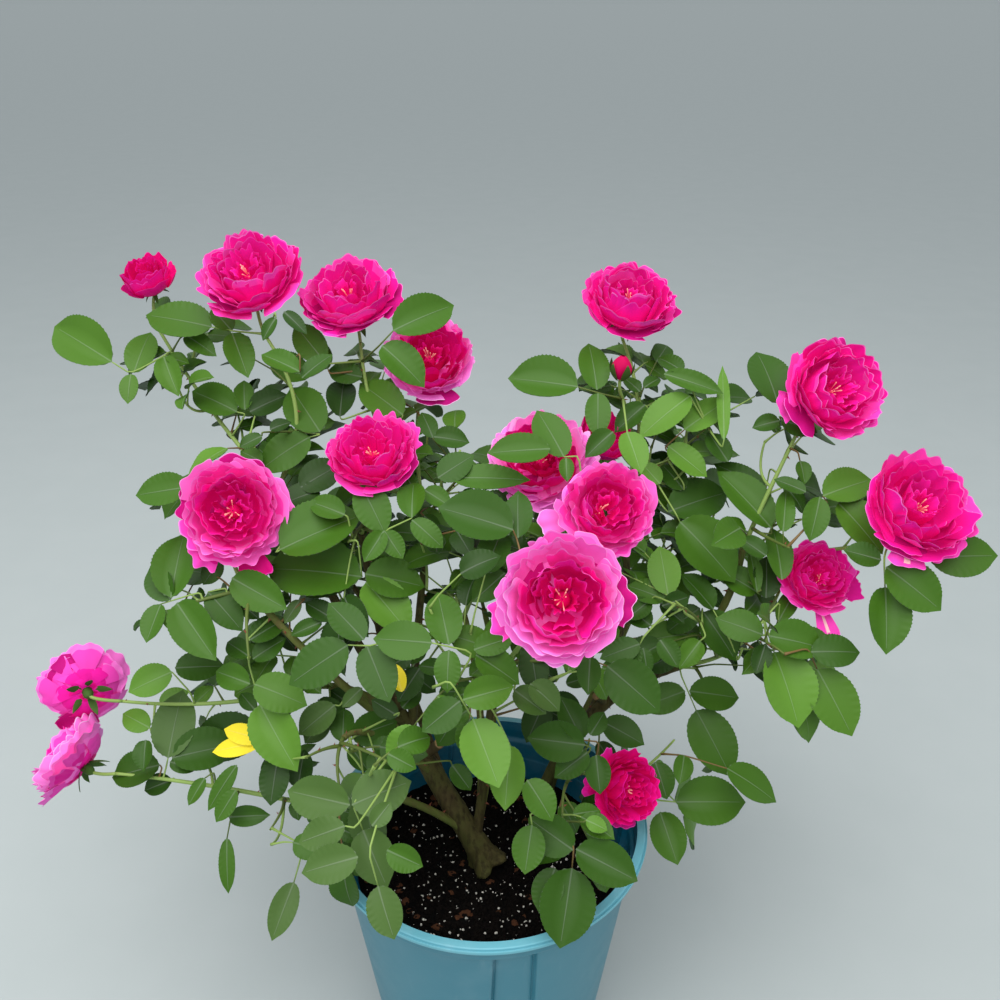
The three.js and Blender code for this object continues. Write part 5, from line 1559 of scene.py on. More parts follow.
def sepal(turn, reach, rise, half, dip=0.0):
    """A narrow blade that stands out from a bloom's axis: three places a row, and their faces."""
    side = np.array((-1, 0, 1))
    out, across = vec(math.cos(turn), math.sin(turn), 0), vec(-math.sin(turn), math.cos(turn), 0)
    places = reach[:, None, None] * out + (half[:, None] * side)[..., None] * across
    places[..., 2] = rise[:, None] + dip * np.abs(side)
    return places, grid_faces(len(reach), len(side))


def add_sepals(skin, bloom, dice):
    """Narrow green sepals under the petals, and the hip that they grow from."""
    place = placed(bloom)
    slimmer = HIP_FROM_WIDTH / max(bloom["width"], HIP_FROM_WIDTH)
    places, faces = lathe(np.array(HIP) * (slimmer, 1), HIP_SIDES)
    skin.add(place(places), faces, SEPAL)
    rows = np.linspace(0, 1, SEPAL_ROWS)
    half = SEPAL_HALF * np.sin(math.pi * np.clip(rows * (1 - SEPAL_FROM) + SEPAL_FROM, 0, 1)) ** ROUNDED
    for i in range(SEPALS):
        turn = (i + dice.uniform(*SEPAL_TURNS)) * math.tau / SEPALS
        droop = dice.uniform(*SEPAL_DROOPS)
        reach = SEPAL_FOOT[0] + rows * SEPAL_REACH * math.cos(droop)
        rise = SEPAL_FOOT[1] - rows * SEPAL_DROP * math.sin(droop) - SEPAL_CURL * rows**2
        places, faces = sepal(turn, reach, rise, half, SEPAL_DIP)
        skin.add(place(places), faces, SEPAL)


def add_stamens(skin, bloom, dice):
    """Pale stamens on the dome in the heart."""
    place = placed(bloom)
    places, faces = lathe(HEART, HEART_SIDES)
    skin.add(place(places), faces, HEART_TINT)
    for _ in range(STAMENS):
        turn = dice.random() * math.tau
        lean = dice.uniform(*STAMEN_LEANS)
        foot = ring(STAMEN_FOOT[0], turn, STAMEN_FOOT[1])
        run = ring(math.sin(lean), turn, math.cos(lean))
        tip = foot + run * dice.uniform(*STAMEN_LENGTHS)
        spine = place([foot, (foot + tip) / 2, tip, tip + run * ANTHER])
        skin.add(*tube(spine, STAMEN_RADII, STAMEN_SIDES), STAMEN)


def add_bud(skin, bloom):
    """A closed bud: wrapped petals in a clasp of sepals."""
    place = placed(bloom)
    t, turns = np.meshgrid(np.linspace(0, 1, BUD_ROWS), round_turns(BUD_SIDES), indexing="ij")
    first, onward = BUD_SWELLS
    swell = np.sin(math.pi * (first + onward * t)) ** ROUNDED * BUD_HALF
    swell = swell * (1 + BUD_FOLD * np.cos(BUD_FOLDS * turns + BUD_TWIST * t))
    wrapped = ring(swell, turns, BUD_FOOT + BUD_HEIGHT * t)
    skin.add(place(wrapped), grid_faces(BUD_ROWS, BUD_SIDES, closed=True), 0)
    rows = np.linspace(0, 1, CLASP_ROWS)
    first, onward = CLASP_SWELLS
    reach = CLASP_REACH + CLASP_SWELL * np.sin(math.pi * (first + onward * rows)) + CLASP_FLARE * rows**3
    half = CLASP_HALF * np.sin(math.pi * np.clip(rows * (1 - CLASP_FROM) + CLASP_FROM, 0, 1))
    for i in range(SEPALS):
        places, faces = sepal(i * math.tau / SEPALS, reach, CLASP_FOOT + CLASP_HEIGHT * rows, half)
        skin.add(place(places), faces, SEPAL)


def add_stalk(skin, shoot):
    """A bloom's stalk, which swells towards its hip."""
    t = np.linspace(0, 1, STALK_ROWS)
    swell = STALK_SWELL * np.clip((t - STALK_SWELLS_FROM) / (1 - STALK_SWELLS_FROM), 0, 1) ** 2
    skin.add(*tube(stalk_path(shoot)(t), STALK_RADIUS * (1 + swell), STALK_SIDES), STEM)


# Pot and potting mix

# The rim's top from its outer edge in: how far in from the rim's radius, and how far below its height
RIM_TOP = [(0, 1.6), (0.9, 1.7), (1.3, 2.6), (1.9, 2.6), (2.2, 0), (9.5, 0)]
POT_LIP = 6
# How much a ledge slopes, how far in the underside is flat, and the radius of the profile's corners
LEDGE_SLOPE = 0.5
UNDERSIDE_FLAT = 9
POT_HUB = 0.5
POT_CORNER = 1.6
# Inside: the collar's slope, the step under it with its depth and slope, where it fades, and the floor's edge
COLLAR_SLOPE = 3
STEP_HEIGHT = 230
STEP_DEPTH = 0.8
STEP_SLOPE = 1.5
STEP_FADES = 180
FLOOR_EDGE = 20
# The moulded pot: the radii and heights of its steps, its wall and its thickness
POT_UNDER_RIM = 147
POT_COLLAR = 141.5
POT_COLLAR_TOP = 261
POT_WALL_TOP = 248
POT_WALL_TOP_RADIUS = 137.8
POT_BASE_RADIUS = 106
POT_WALL = 2.8
# The flutes in degrees: their middles, half their width from the lower height to the upper, and their edges
FLUTE_ANGLES = (-79.5, 10.5, 100.5, 190.5)
FLUTE_HEIGHTS = (170, 250)
FLUTE_HALVES = (11.8, 8)
FLUTE_EDGE = 0.8
FLUTE_GROOVE = 0.4
FLUTE_DEPTH = 4
FLUTE_FOOT = 14
FLUTE_RISE = 4
GROOVE_AT = 1.3
GROOVE_WIDTH = 0.5
# Steps from a flute's middle to near its edge, over the edge, and on to halfway to the next flute
FLUTE_STEPS = (5, 9, 40)
POT_SIDES = 2 * len(FLUTE_ANGLES) * sum(FLUTE_STEPS)
# The slot of the inner wall, whose darker colour is partly the plastic's own deeper tone and partly painted
# shade
SHADED_INSIDE = 1
# The slot of the rim band, whose lighter colour is a painted highlight for the light from above
PAINTED_LIT_RIM = 2
# The arc at a corner: its steps, and the most it takes of a straight beside it
CORNER_STEPS = 4
CORNER_REACH = 0.45


def wall_radius(height):
    return POT_BASE_RADIUS + (POT_WALL_TOP_RADIUS - POT_BASE_RADIUS) * height / POT_WALL_TOP


def rounded(profile, radius, steps=CORNER_STEPS):
    """The profile with each inner corner turned into an arc, as (radius, height, fluted) rows."""
    rows = [profile[0]]
    for before, corner, after in zip(profile, profile[1:], profile[2:]):
        corner2 = np.array(corner[:2])
        ends = []
        for other in (before, after):
            way = np.array(other[:2]) - corner2
            reach = np.linalg.norm(way)
            ends.append(corner2 + way / reach * min(radius, reach * CORNER_REACH))
        for i in range(steps + 1):
            t = i / steps
            place = ends[0] * (1 - t) ** 2 + corner2 * (2 * t * (1 - t)) + ends[1] * t**2
            rows.append((place[0], place[1], corner[2]))
    rows.append(profile[-1])
    return rows


def eased(share):
    return share * share * (3 - 2 * share)


def flute_share(turns, height):
    """How deep in a flute each turn is at a height: 0 outside, 1 within, and a little more along its edge."""
    degrees = np.degrees(turns)[:, None]
    off = np.abs((degrees - np.array(FLUTE_ANGLES) + 180) % 360 - 180).min(axis=1)
    far = (np.interp(height, FLUTE_HEIGHTS, FLUTE_HALVES) - off) / FLUTE_EDGE
    groove = FLUTE_GROOVE * np.exp(-((far - GROOVE_AT) / GROOVE_WIDTH) ** 2)
    return eased(np.clip(far, 0, 1)) + groove


def fluted_turns(height):
    """Turns round the pot at a height, close together along the edges of the flutes."""
    half = np.interp(height, FLUTE_HEIGHTS, FLUTE_HALVES)
    quarter = 180 / len(FLUTE_ANGLES)
    knots = (0, half - 2 * FLUTE_EDGE, half, quarter)
    side = [np.linspace(a, b, n, endpoint=False) for a, b, n in zip(knots, knots[1:], FLUTE_STEPS)]
    side = np.concatenate(side)
    off = np.concatenate([-side[:0:-1], side, [quarter]])
    return np.radians(np.concatenate([angle + off for angle in FLUTE_ANGLES]))


def turned(rows):
    rings = []
    for radius, height, fluted in rows:
        turns = fluted_turns(height)
        rings.append(ring(radius - fluted * flute_share(turns, height) * FLUTE_DEPTH, turns, height))
    return np.vstack(rings), grid_faces(len(rows), POT_SIDES, closed=True)


def pot_profiles():
    """The pot's outer profile, from the middle of its underside up, and its inner one, from the rim down.

    Each row is a radius, a height and whether the flutes reach it."""
    lip = POT_HEIGHT - POT_LIP
    rim = [(RIM_RADIUS - inward, POT_HEIGHT - down, 0) for inward, down in RIM_TOP]
    collar_inside = POT_COLLAR - POT_WALL
    outer = [
        (POT_HUB, 0, 0),
        (POT_BASE_RADIUS - UNDERSIDE_FLAT, 0, 0),
        (POT_BASE_RADIUS, 0, 0),
        (wall_radius(FLUTE_FOOT), FLUTE_FOOT, 0),
        (wall_radius(FLUTE_FOOT + FLUTE_RISE), FLUTE_FOOT + FLUTE_RISE, 1),
        (POT_WALL_TOP_RADIUS, POT_WALL_TOP, 1),
        (POT_COLLAR, POT_WALL_TOP + LEDGE_SLOPE, 0),
        (POT_COLLAR, POT_COLLAR_TOP, 0),
        (POT_UNDER_RIM, POT_COLLAR_TOP + LEDGE_SLOPE, 0),
        (POT_UNDER_RIM, lip, 0),
        (RIM_RADIUS, lip + LEDGE_SLOPE, 0),
        *rim,
    ]
    inner = [
        rim[-1],
        (collar_inside, POT_COLLAR_TOP - LEDGE_SLOPE, 0),
        (collar_inside, POT_WALL_TOP + COLLAR_SLOPE, 0),
        (POT_WALL_TOP_RADIUS - POT_WALL, POT_WALL_TOP, 1),
        (wall_radius(STEP_HEIGHT) - POT_WALL, STEP_HEIGHT, 1),
        (wall_radius(STEP_HEIGHT) - POT_WALL - STEP_DEPTH, STEP_HEIGHT - STEP_SLOPE, 1),
        (wall_radius(STEP_FADES) - POT_WALL - STEP_DEPTH, STEP_FADES, 1),
        (wall_radius(FLOOR_EDGE) - POT_WALL, FLOOR_EDGE, 1),
        (POT_BASE_RADIUS - POT_WALL, POT_WALL, 0),
        (POT_HUB, POT_WALL, 0),
    ]
    return rounded(outer, POT_CORNER), rounded(inner, POT_CORNER)


def bumps(x, y, size, dice):
    """Smooth random relief over the plane, with hills about size wide."""
    grid = dice.random((BUMP_CELLS, BUMP_CELLS))
    u, v = (x / size) % (BUMP_CELLS - 1), (y / size) % (BUMP_CELLS - 1)
    i, j = np.floor(u).astype(int), np.floor(v).astype(int)
    fu, fv = eased(u - i), eased(v - j)
    low = grid[i, j] * (1 - fu) + grid[i + 1, j] * fu
    high = grid[i, j + 1] * (1 - fu) + grid[i + 1, j + 1] * fu
    return low * (1 - fv) + high * fv - 0.5


# The surface of the mix: its grid, how far inside the wall it ends, and how its rings crowd outwards
SOIL_RINGS = 120
SOIL_SIDES = 360
SOIL_INSET = 3.4
SOIL_SEED = 5
# The hills of the mix, as heights and widths, and how far its middle lies below its top
SOIL_HILLS = [(5.0, 45), (3.2, 14), (2.0, 5.5), (1.1, 2.6)]
SOIL_LOWER = 2.5
BUMP_CELLS = 64
BUMP_SHIFT = 400
SOIL_MIDDLE = 0.004
SOIL_CROWDING = 0.8
SOIL_SIDE_HEIGHTS = (SOIL_TOP - 12, 60)
SOIL_FOOT = 3.4
SOIL_CORNER = 4
SOIL_HUB = 0.01


def soil_relief(x, y):
    dice = np.random.default_rng(SOIL_SEED)
    hills = [height * bumps(x + BUMP_SHIFT, y + BUMP_SHIFT, size, dice) for height, size in SOIL_HILLS]
    return sum(hills) - SOIL_LOWER


def soil_surface():
    """The rough top of the potting mix, and its side down to the pot's floor."""
    turns = round_turns(SOIL_SIDES)

    def edge(height):
        return wall_radius(height) - SOIL_INSET - flute_share(turns, SOIL_TOP) * FLUTE_DEPTH

    shares = np.linspace(SOIL_MIDDLE, 1, SOIL_RINGS)[:, None] ** SOIL_CROWDING
    top = ring(shares * edge(SOIL_TOP), turns, 0)
    top[..., 2] = SOIL_TOP + soil_relief(top[..., 0], top[..., 1])
    rings = [*top] + [ring(edge(height), turns, height) for height in SOIL_SIDE_HEIGHTS]
    rings.append(ring(wall_radius(SOIL_CORNER) - SOIL_INSET - FLUTE_DEPTH, turns, SOIL_FOOT))
    rings.append(rings[-1] * (SOIL_HUB, SOIL_HUB, 1))
    return np.vstack(rings), grid_faces(len(rings), SOIL_SIDES, closed=True)[:, ::-1]


# An icosahedron, the shape that each lump is roughened from
GOLDEN = (1 + math.sqrt(5)) / 2
LUMP_PLACES = np.array([
    (-1, GOLDEN, 0), (1, GOLDEN, 0), (-1, -GOLDEN, 0), (1, -GOLDEN, 0),
    (0, -1, GOLDEN), (0, 1, GOLDEN), (0, -1, -GOLDEN), (0, 1, -GOLDEN),
    (GOLDEN, 0, -1), (GOLDEN, 0, 1), (-GOLDEN, 0, -1), (-GOLDEN, 0, 1),
]) / math.hypot(1, GOLDEN)
LUMP_FACES = np.array([
    (0, 11, 5), (0, 5, 1), (0, 1, 7), (0, 7, 10), (0, 10, 11), (1, 5, 9), (5, 11, 4), (11, 10, 2), (10, 7, 6),
    (7, 1, 8), (3, 9, 4), (3, 4, 2), (3, 2, 6), (3, 6, 8), (3, 8, 9), (4, 9, 5), (2, 4, 11), (6, 2, 10),
    (8, 6, 7), (9, 8, 1),
])
# The lumps on the mix: least and most size, flatness, colour and the colour of its shade
LUMPS = {
    "crumbs": ((1.6, 5.2), 0.8, (9, 7, 7), (20, 15, 12)),
    "perlite": ((0.7, 3.1), 0.85, (236, 234, 226), (206, 202, 190)),
    "chips": ((4, 11), 0.32, (96, 60, 40), (52, 34, 24)),
}
# How deep a lump lies, how rough it is, its least and most stretch, and how clear of the wall it keeps
LUMP_SINK = 0.3
LUMP_ROUGH = (0.7, 1.2)
LUMP_LENGTHS = (0.8, 1.3)
LUMP_WIDTHS = (0.7, 1.1)
LUMP_THICKER = 1.3
LUMPS_FROM_EDGE = 5
# Where no lumps lie: the feet of the trunk and of the second stem, and how far round them
BARE_FEET = [(LIMBS["trunk"]["foot"], 17), (LIMBS["stem_right"]["foot"], 11)]


def scatter(count, sizes, flatness, dice):
    """Lumps strewn over the potting mix: the places of each."""
    widest = wall_radius(SOIL_TOP) - SOIL_INSET - FLUTE_DEPTH - LUMPS_FROM_EDGE
    radius = widest * np.sqrt(dice.random(count))
    middles = ring(radius, dice.random(count) * math.tau, 0)
    for foot, clear in BARE_FEET:
        middles = middles[np.hypot(*(middles[:, :2] - foot[:2]).T) > clear]
    x, y, _ = middles.T
    count = len(x)
    size = dice.uniform(*sizes, count) * 0.5
    rough = dice.uniform(*LUMP_ROUGH, (count, len(LUMP_PLACES), 1))
    flat = (flatness, flatness * LUMP_THICKER)
    stretch = np.stack([dice.uniform(*ends, count) for ends in (LUMP_LENGTHS, LUMP_WIDTHS, flat)], -1)
    spin = dice.random(count) * math.tau
    lumps = LUMP_PLACES * rough * stretch[:, None] * size[:, None, None]
    c, s = np.cos(spin)[:, None], np.sin(spin)[:, None]
    along, across, up = lumps[..., 0], lumps[..., 1], lumps[..., 2]
    lumps = np.stack([along * c - across * s, along * s + across * c, up], -1)
    centres = np.stack([x, y, SOIL_TOP + soil_relief(x, y) + size * flatness * LUMP_SINK], -1)
    return lumps + centres[:, None]


# Canes, shoots and stalks

LEAST_CANE_STEPS = 4
CANE_STEP = 2.2
CANE_SIDES = 26
# How rough the bark of a thick and of a thin limb is, and from which radius a limb is thick
THICK_ROUGH = 0.03
THIN_ROUGH = 0.014
THICK_FROM_RADIUS = 6
# Bark: the ridges round a limb, how they drift, and the grain between them
RIDGES = (3, 5, 8, 12)
RIDGE_DRIFT = 0.07
BARK_GRAIN = 0.5
# Knots, in rings: where the first is and how far apart they are, each with what chance adds, and their size
FIRST_KNOT = (9, 8)
KNOT_EVERY = (15, 4)
KNOT_HEIGHT = 0.07
KNOT_WIDTH = 1.3
# The lobes of a root flare: height, number round the foot and turn, and in how many rings they fade
ROOT_LOBES = [(0.22, 4, 0.7), (0.1, 7, 2.0)]
LOBES_FADE = 7.0
PRICKLE_LENGTH = (3.0, 5.5)
# A prickle from foot to point: how far out in shares of its length, how wide in shares of its foot, and how
# far down in shares of its length
PRICKLE_RINGS = [(0, 1.0, 0), (0.35, 0.55, 0.05), (0.7, 0.24, 0.16), (1.0, 0.04, 0.36)]
PRICKLE_CORNERS = [(1, 0), (0, 1), (-1, 0), (0, -1)]
PRICKLE_FOOT = 0.42
PRICKLE_THIN = 0.45
PRICKLES_FROM = 0.08
PRICKLES_TO = 0.97
PRICKLE_SHIFTS = (-0.3, 0.3)
PRICKLE_SHARES = (0.01, 0.98)
PRICKLE_SUNK = 0.85
# A prickle on a thin cane is smaller: its least share, and the radius by which it grows to full length
PRICKLE_LEAST = 0.45
PRICKLE_GROWS = 8
PRICKLE_OFF_AXIS = 0.02
STUB_ROWS = 14
STUB_SIDES = 20
STUB_FLARE = 0.15
# The finishes of the canes, and those of the shoots, whose prickles come last too
OLD_BARK, YOUNG_BARK, CUT_WOOD, PRICKLE = range(4)
GREEN_SHOOT, OLIVE_SHOOT, RUSSET_SHOOT = range(3)
LEAF_STALK_FINISHES = (GREEN_SHOOT, GREEN_SHOOT, GREEN_SHOOT, OLIVE_SHOOT, RUSSET_SHOOT)
# The radius of a shoot at its foot and at its tip, with and without a bloom, and between its prickles
FLOWERING_RADII = (2.3, 1.5)
LEAFY_RADII = (1.9, 0.9)
SHOOT_RADIUS = 1.8
SHOOT_PRICKLES_APART = 1.3
LEAST_SHOOT_STEPS = 3
SHOOT_STEP = 4.0
SHOOT_SIDES = 10
SPRIG_SIDES = 7
USED_STEPS = 90
LEAF_STALK_RADII = (1.5, 1.05, 0.9, 0.85, 0.8, 0.78, 0.74, 0.7, 0.64, 0.58)
LEAF_STALK_SIDES = 6
# The row where a leaf's stalk bends, and how much that bend is rounded
KNEE_ROW = 4
KNEE_ROUNDED = 0.25
# How near a leaf's foot is to the shoot it grows from, and how much of a leafless shoot is left
ROOT_REACH = 2.5
BARE_SHARE = 0.3
# Pruned stubs: the limb each stands on, where along it, which way it points, its length and its radius
STUBS = [
    ("trunk", 0.93, (-0.62, -0.5, 0.6), 24, 5.5),
    ("trunk", 0.72, (0.5, -0.35, 0.8), 20, 4.6),
    ("bough_centre", 0.55, (0.45, -0.6, 0.65), 13, 3.4),
    ("stem_right", 0.62, (-0.5, -0.5, 0.7), 15, 3.8),
]


def limb_radius(limb, t):
    flare = limb.get("flare", 0) * np.maximum(0, 1 - t / FLARE_REACH) ** 2
    return limb["radii"][0] + (limb["radii"][1] - limb["radii"][0]) * t + flare


def bark_relief(rings, sides, rough, dice, flare=0.0):
    """Ridges along a limb, knots across it and, at a flared foot, root lobes."""
    turns = round_turns(sides)
    rows = np.arange(rings)[:, None]
    relief = np.zeros((rings, sides))
    for waves in RIDGES:
        drift = np.cumsum(dice.normal(0, RIDGE_DRIFT, rings))[:, None]
        relief += rough / waves**0.5 * np.sin(waves * (turns + drift) + dice.random() * math.tau)
    relief += rough * BARK_GRAIN * dice.normal(0, 1, (rings, sides))
    first, every = (least + dice.random() * more for least, more in (FIRST_KNOT, KNOT_EVERY))
    for knot in np.arange(first, rings, every):
        relief += KNOT_HEIGHT * np.exp(-((rows - knot) / KNOT_WIDTH) ** 2)
    if flare:
        lobes = sum(height * np.cos(count * turns + turn) for height, count, turn in ROOT_LOBES)
        relief += lobes * np.exp(-rows / LOBES_FADE)
    return relief


def add_limb(skin, limb, path, finish, dice):
    steps = max(LEAST_CANE_STEPS, math.ceil(path_length(path) / CANE_STEP))
    t = np.linspace(0, 1, steps + 1)
    rough = THICK_ROUGH if limb["radii"][0] > THICK_FROM_RADIUS else THIN_ROUGH
    relief = bark_relief(steps + 1, CANE_SIDES, rough, dice, limb.get("flare", 0))
    skin.add(*tube(path(t), limb_radius(limb, t), CANE_SIDES, relief), finish)


def add_prickle(skin, place, out, down, length, finish):
    """A hooked prickle on a cane's side."""
    right = unit(np.cross(out, down)) * PRICKLE_THIN
    rows = []
    for far, width, drop in PRICKLE_RINGS:
        centre = place + out * (far * length) + down * (drop * length)
        half = length * PRICKLE_FOOT * width
        rows += [centre + (down * a + right * b) * half for a, b in PRICKLE_CORNERS]
    skin.add(rows, grid_faces(len(PRICKLE_RINGS), len(PRICKLE_CORNERS), closed=True), finish)


def add_prickles(skin, path, radius, every, finish, dice):
    """Prickles along a cane, radius being its radius at a share of its length."""
    length = path_length(path)
    first, last = PRICKLE_SHARES
    for far in np.arange(PRICKLES_FROM * length, PRICKLES_TO * length, every):
        t = min(last, (far + dice.uniform(*PRICKLE_SHIFTS) * every) / length)
        run = heading(path, max(first, t))
        out = turned_out(run, dice.random() * math.tau, PRICKLE_OFF_AXIS)
        size = dice.uniform(*PRICKLE_LENGTH) * min(1.0, PRICKLE_LEAST + radius(t) / PRICKLE_GROWS)
        add_prickle(skin, path(t) + out * radius(t) * PRICKLE_SUNK, out, -run, size, finish)


def add_stub(skin, paths, row, finish, dice):
    name, at, way, length, radius = row
    t = np.linspace(0, 1, STUB_ROWS)
    far = t * (length + LIMBS[name]["radii"][0])
    places = paths[name](at) + unit(vec(*way)) * far[:, None]
    radii = radius * (1 + STUB_FLARE * (1 - t))
    relief = bark_relief(STUB_ROWS, STUB_SIDES, THICK_ROUGH, dice)
    places, faces = tube(places, radii, STUB_SIDES, relief)
    kinds = np.full(len(faces), finish)
    kinds[-STUB_SIDES:] = CUT_WOOD
    skin.add(places, faces, kinds)


def shoot_tube(path, radii, sides=SHOOT_SIDES):
    steps = max(LEAST_SHOOT_STEPS, math.ceil(path_length(path) / SHOOT_STEP))
    t = np.linspace(0, 1, steps + 1)
    return tube(path(t), radii[0] + (radii[1] - radii[0]) * t, sides)


def used_part(path, roots):
    """A path cut off where the last leaf, sprig or shoot leaves it."""
    t = np.linspace(0, 1, USED_STEPS)
    off = np.linalg.norm(path(t)[:, None] - roots, axis=-1).min(axis=1)
    used = t[off < ROOT_REACH]
    last = used.max() if len(used) else BARE_SHARE
    return lambda share: path(share * last)


def leaf_stalk(leaf):
    """A leaf's stalk with a swollen foot, from its shoot to its end leaflet."""
    root, knee, end = leaf["root"], leaf["knee"], leaf["end"]
    first = root + (knee - root) * np.linspace(0, 1, KNEE_ROW + 1)[:, None]
    second = knee + (end - knee) * np.linspace(0, 1, len(LEAF_STALK_RADII) - KNEE_ROW)[1:, None]
    places = np.vstack([first, second])
    before, bent, after = places[KNEE_ROW - 1:KNEE_ROW + 2]
    places[KNEE_ROW] = bent + (before + after - 2 * bent) * KNEE_ROUNDED
    return tube(places, LEAF_STALK_RADII, LEAF_STALK_SIDES)


# Finishes

# The grain of each finish: its scale and detail, how it is stretched and, where it is cut off, its stops.
# The grain of bark is multiplied by a scale of the limb's own.
EVEN = (1, 1, 1)
GRAINS = {
    "flow": (6.0, 4.0, (1, 1, 0.35)),
    "dust": (38.0, 6.0, EVEN, (0.45, 0.0), (0.72, 1.0)),
    "scuff": (70.0, 3.0, (1, 1, 0.12), (0.6, 0.0), (0.75, 1.0)),
    "pitting": (420.0, 2.0, EVEN),
    "mix": (260.0, 6.0, EVEN),
    "fibre": (120.0, 4.0, (1, 0.3, 1), (0.5, 0.0), (0.7, 1.0)),
    "streak": (1.0, 6.0, (1, 1, 0.14)),
    "crack": (1.6, 5.0, (1, 1, 0.2), (0.35, 1.0), (0.5, 0.0)),
    "cast": (24.0, 3.0, EVEN, (0.4, 0.0), (0.65, 1.0)),
    "stone": (500.0, 4.0, EVEN),
    "floor": (9.0, 5.0, EVEN),
}
GRAIN_ROUGHNESS = 0.55
OLD_BARK_SCALE = 150.0
YOUNG_BARK_SCALE = 110.0
# How strongly each grain shows, how much paler it is, and how much rougher or smoother
DUST_SHOWS = 0.12
DUST_PALER = 0.35
DUST_ROUGHER = 0.18
SCUFF_SHOWS = 0.1
SCUFF_PALER = 0.5
SCUFF_ROUGHER = 0.1
MIX_SMOOTHER = 0.35
CAST_SHOWS = 0.55
CRACK_SHOWS = 0.6
BARK_ROUGHEST = 0.92
STREAK_SMOOTHER = 0.25
# The strength of each bump and its height in metres
PITTING_BUMP = (0.12, 0.0004)
MIX_BUMP = (0.8, 0.0012)
BARK_BUMP = (0.7, 0.0012)
STONE_BUMP = (0.5, 0.0006)
# The roughness and the specular share of each surface
SURFACES = {
    "mix": (0.95, 0.08),
    "bark": (0.8, 0.25),
    "stone": (0.9, 0.1),
    "floor": (0.9, 0.2),
    "cut wood": (0.85, 0.4),
    "prickle": (0.5, 0.4),
    "shoot": (0.55, 0.4),
    "dull shoot": (0.6, 0.4),
    "leaf": (0.5, 0.26),
    "rib": (0.55, 0.25),
    "back": (0.7, 0.2),
    "petal": (0.65, 0.12),
}
PLASTIC_SPECULAR = 0.5
FIBRE_BROWN = (24, 17, 13)
CUT_WOOD_BROWN = (150, 122, 82)
OLIVE = (90, 108, 44)
RUSSET = (116, 92, 50)
RIB_PALER = 0.06
BACK_PALER = 0.09
FLOOR_PALER = 0.06


class Wire:
    """A shader value that Python's operators work on. Each adds its Math node."""

    def __init__(self, finish, socket):
        self.finish = finish
        self.socket = socket

    def math(self, operation, first, second):
        return self.finish.node("ShaderNodeMath", {"operation": operation}, {0: first, 1: second})

    def __add__(self, other):
        return self.math("ADD", self, other)

    def __sub__(self, other):
        return self.math("SUBTRACT", self, other)

    def __mul__(self, other):
        return self.math("MULTIPLY", self, other)

    def __rsub__(self, other):
        return self.math("SUBTRACT", other, self)

    __radd__ = __add__
    __rmul__ = __mul__


class Finish:
    """One material: a Principled shader and the nodes that feed it."""

    def __init__(self, name, roughness, specular):
        self.material = bpy.data.materials.new(name)
        self.material.use_nodes = True
        self.tree = self.material.node_tree
        self.shader = self.tree.nodes["Principled BSDF"]
        self.set("Roughness", roughness)
        self.set("Specular IOR Level", specular)

    def node(self, kind, settings=None, inputs=None, output=0):
        """Adds a node: its settings first, then the values or links of its sockets."""
        made = self.tree.nodes.new(kind)
        for key, value in (settings or {}).items():
            if key == "stops":
                self.stops(made.color_ramp, value)
            else:
                setattr(made, key, value)
        for key, value in (inputs or {}).items():
            self.feed(made.inputs[key], value)
        return Wire(self, made.outputs[output])

    def stops(self, ramp, stops):
        while len(ramp.elements) < len(stops):
            ramp.elements.new(1.0)
        for element, (place, value) in zip(ramp.elements, stops):
            element.position = place
            element.color = (value, value, value, 1)

    def feed(self, socket, value):
        if isinstance(value, Wire):
            self.tree.links.new(value.socket, socket)
        else:
            socket.default_value = value

    def set(self, socket, value):
        self.feed(self.shader.inputs[socket], value)

    def grain(self, name, scale=1):
        """The noise of a grain over the object, cut off at its stops if it has any."""
        own_scale, detail, stretch, *stops = GRAINS[name]
        where = self.node("ShaderNodeTexCoord", output="Object")
        place = self.node("ShaderNodeVectorMath", {"operation": "MULTIPLY"}, {0: where, 1: stretch})
        inputs = {"Vector": place, "Scale": own_scale * scale, "Detail": detail, "Roughness": GRAIN_ROUGHNESS}
        noise = self.node("ShaderNodeTexNoise", {"noise_dimensions": "3D"}, inputs, output="Fac")
        return self.node("ShaderNodeValToRGB", {"stops": stops}, {"Fac": noise}) if stops else noise

    def blend(self, factor, first, second):
        """A colour between two, by a factor."""
        inputs = {"Factor": factor, 6: first, 7: second}
        return self.node("ShaderNodeMix", {"data_type": "RGBA"}, inputs, output=2)

    def bump(self, height, strength, distance):
        inputs = {"Strength": strength, "Distance": distance, "Height": height}
        self.set("Normal", self.node("ShaderNodeBump", None, inputs))


# The sRGB curve: straight up to one value, a power above it
WHITE = 255
SRGB_STRAIGHT_TO = 0.04045
SRGB_SLOPE = 12.92
SRGB_SHIFT = 0.055
SRGB_POWER = 2.4


def linear(colour):
    """An sRGB colour of 0 to 255 as the shader's own numbers."""
    def channel(c):
        c = c / WHITE
        if c <= SRGB_STRAIGHT_TO:
            return c / SRGB_SLOPE
        return ((c + SRGB_SHIFT) / (1 + SRGB_SHIFT)) ** SRGB_POWER

    return tuple(channel(c) for c in colour) + (1.0,)


def rgba(colour):
    """A colour property as the shader's own numbers."""
    return (colour[0], colour[1], colour[2], 1.0)


def plain(name, colour, surface, passes=0.0):
    """A finish of one plain colour, for pieces whose tints are dealt out by spray.

    passes is the strength of a painted glow: an emission in the finish's own colour, which stands in for
    light that comes through a thin petal and lifts the shade between petals."""
    finish = Finish(name, *SURFACES[surface])
    finish.set("Base Color", colour)
    if passes:
        finish.set("Emission Color", colour)
        finish.set("Emission Strength", passes)
    return finish.material


def lighter(colour, share):
    return tuple(min(1.0, c + (1 - c) * share) for c in colour[:3]) + (1.0,)


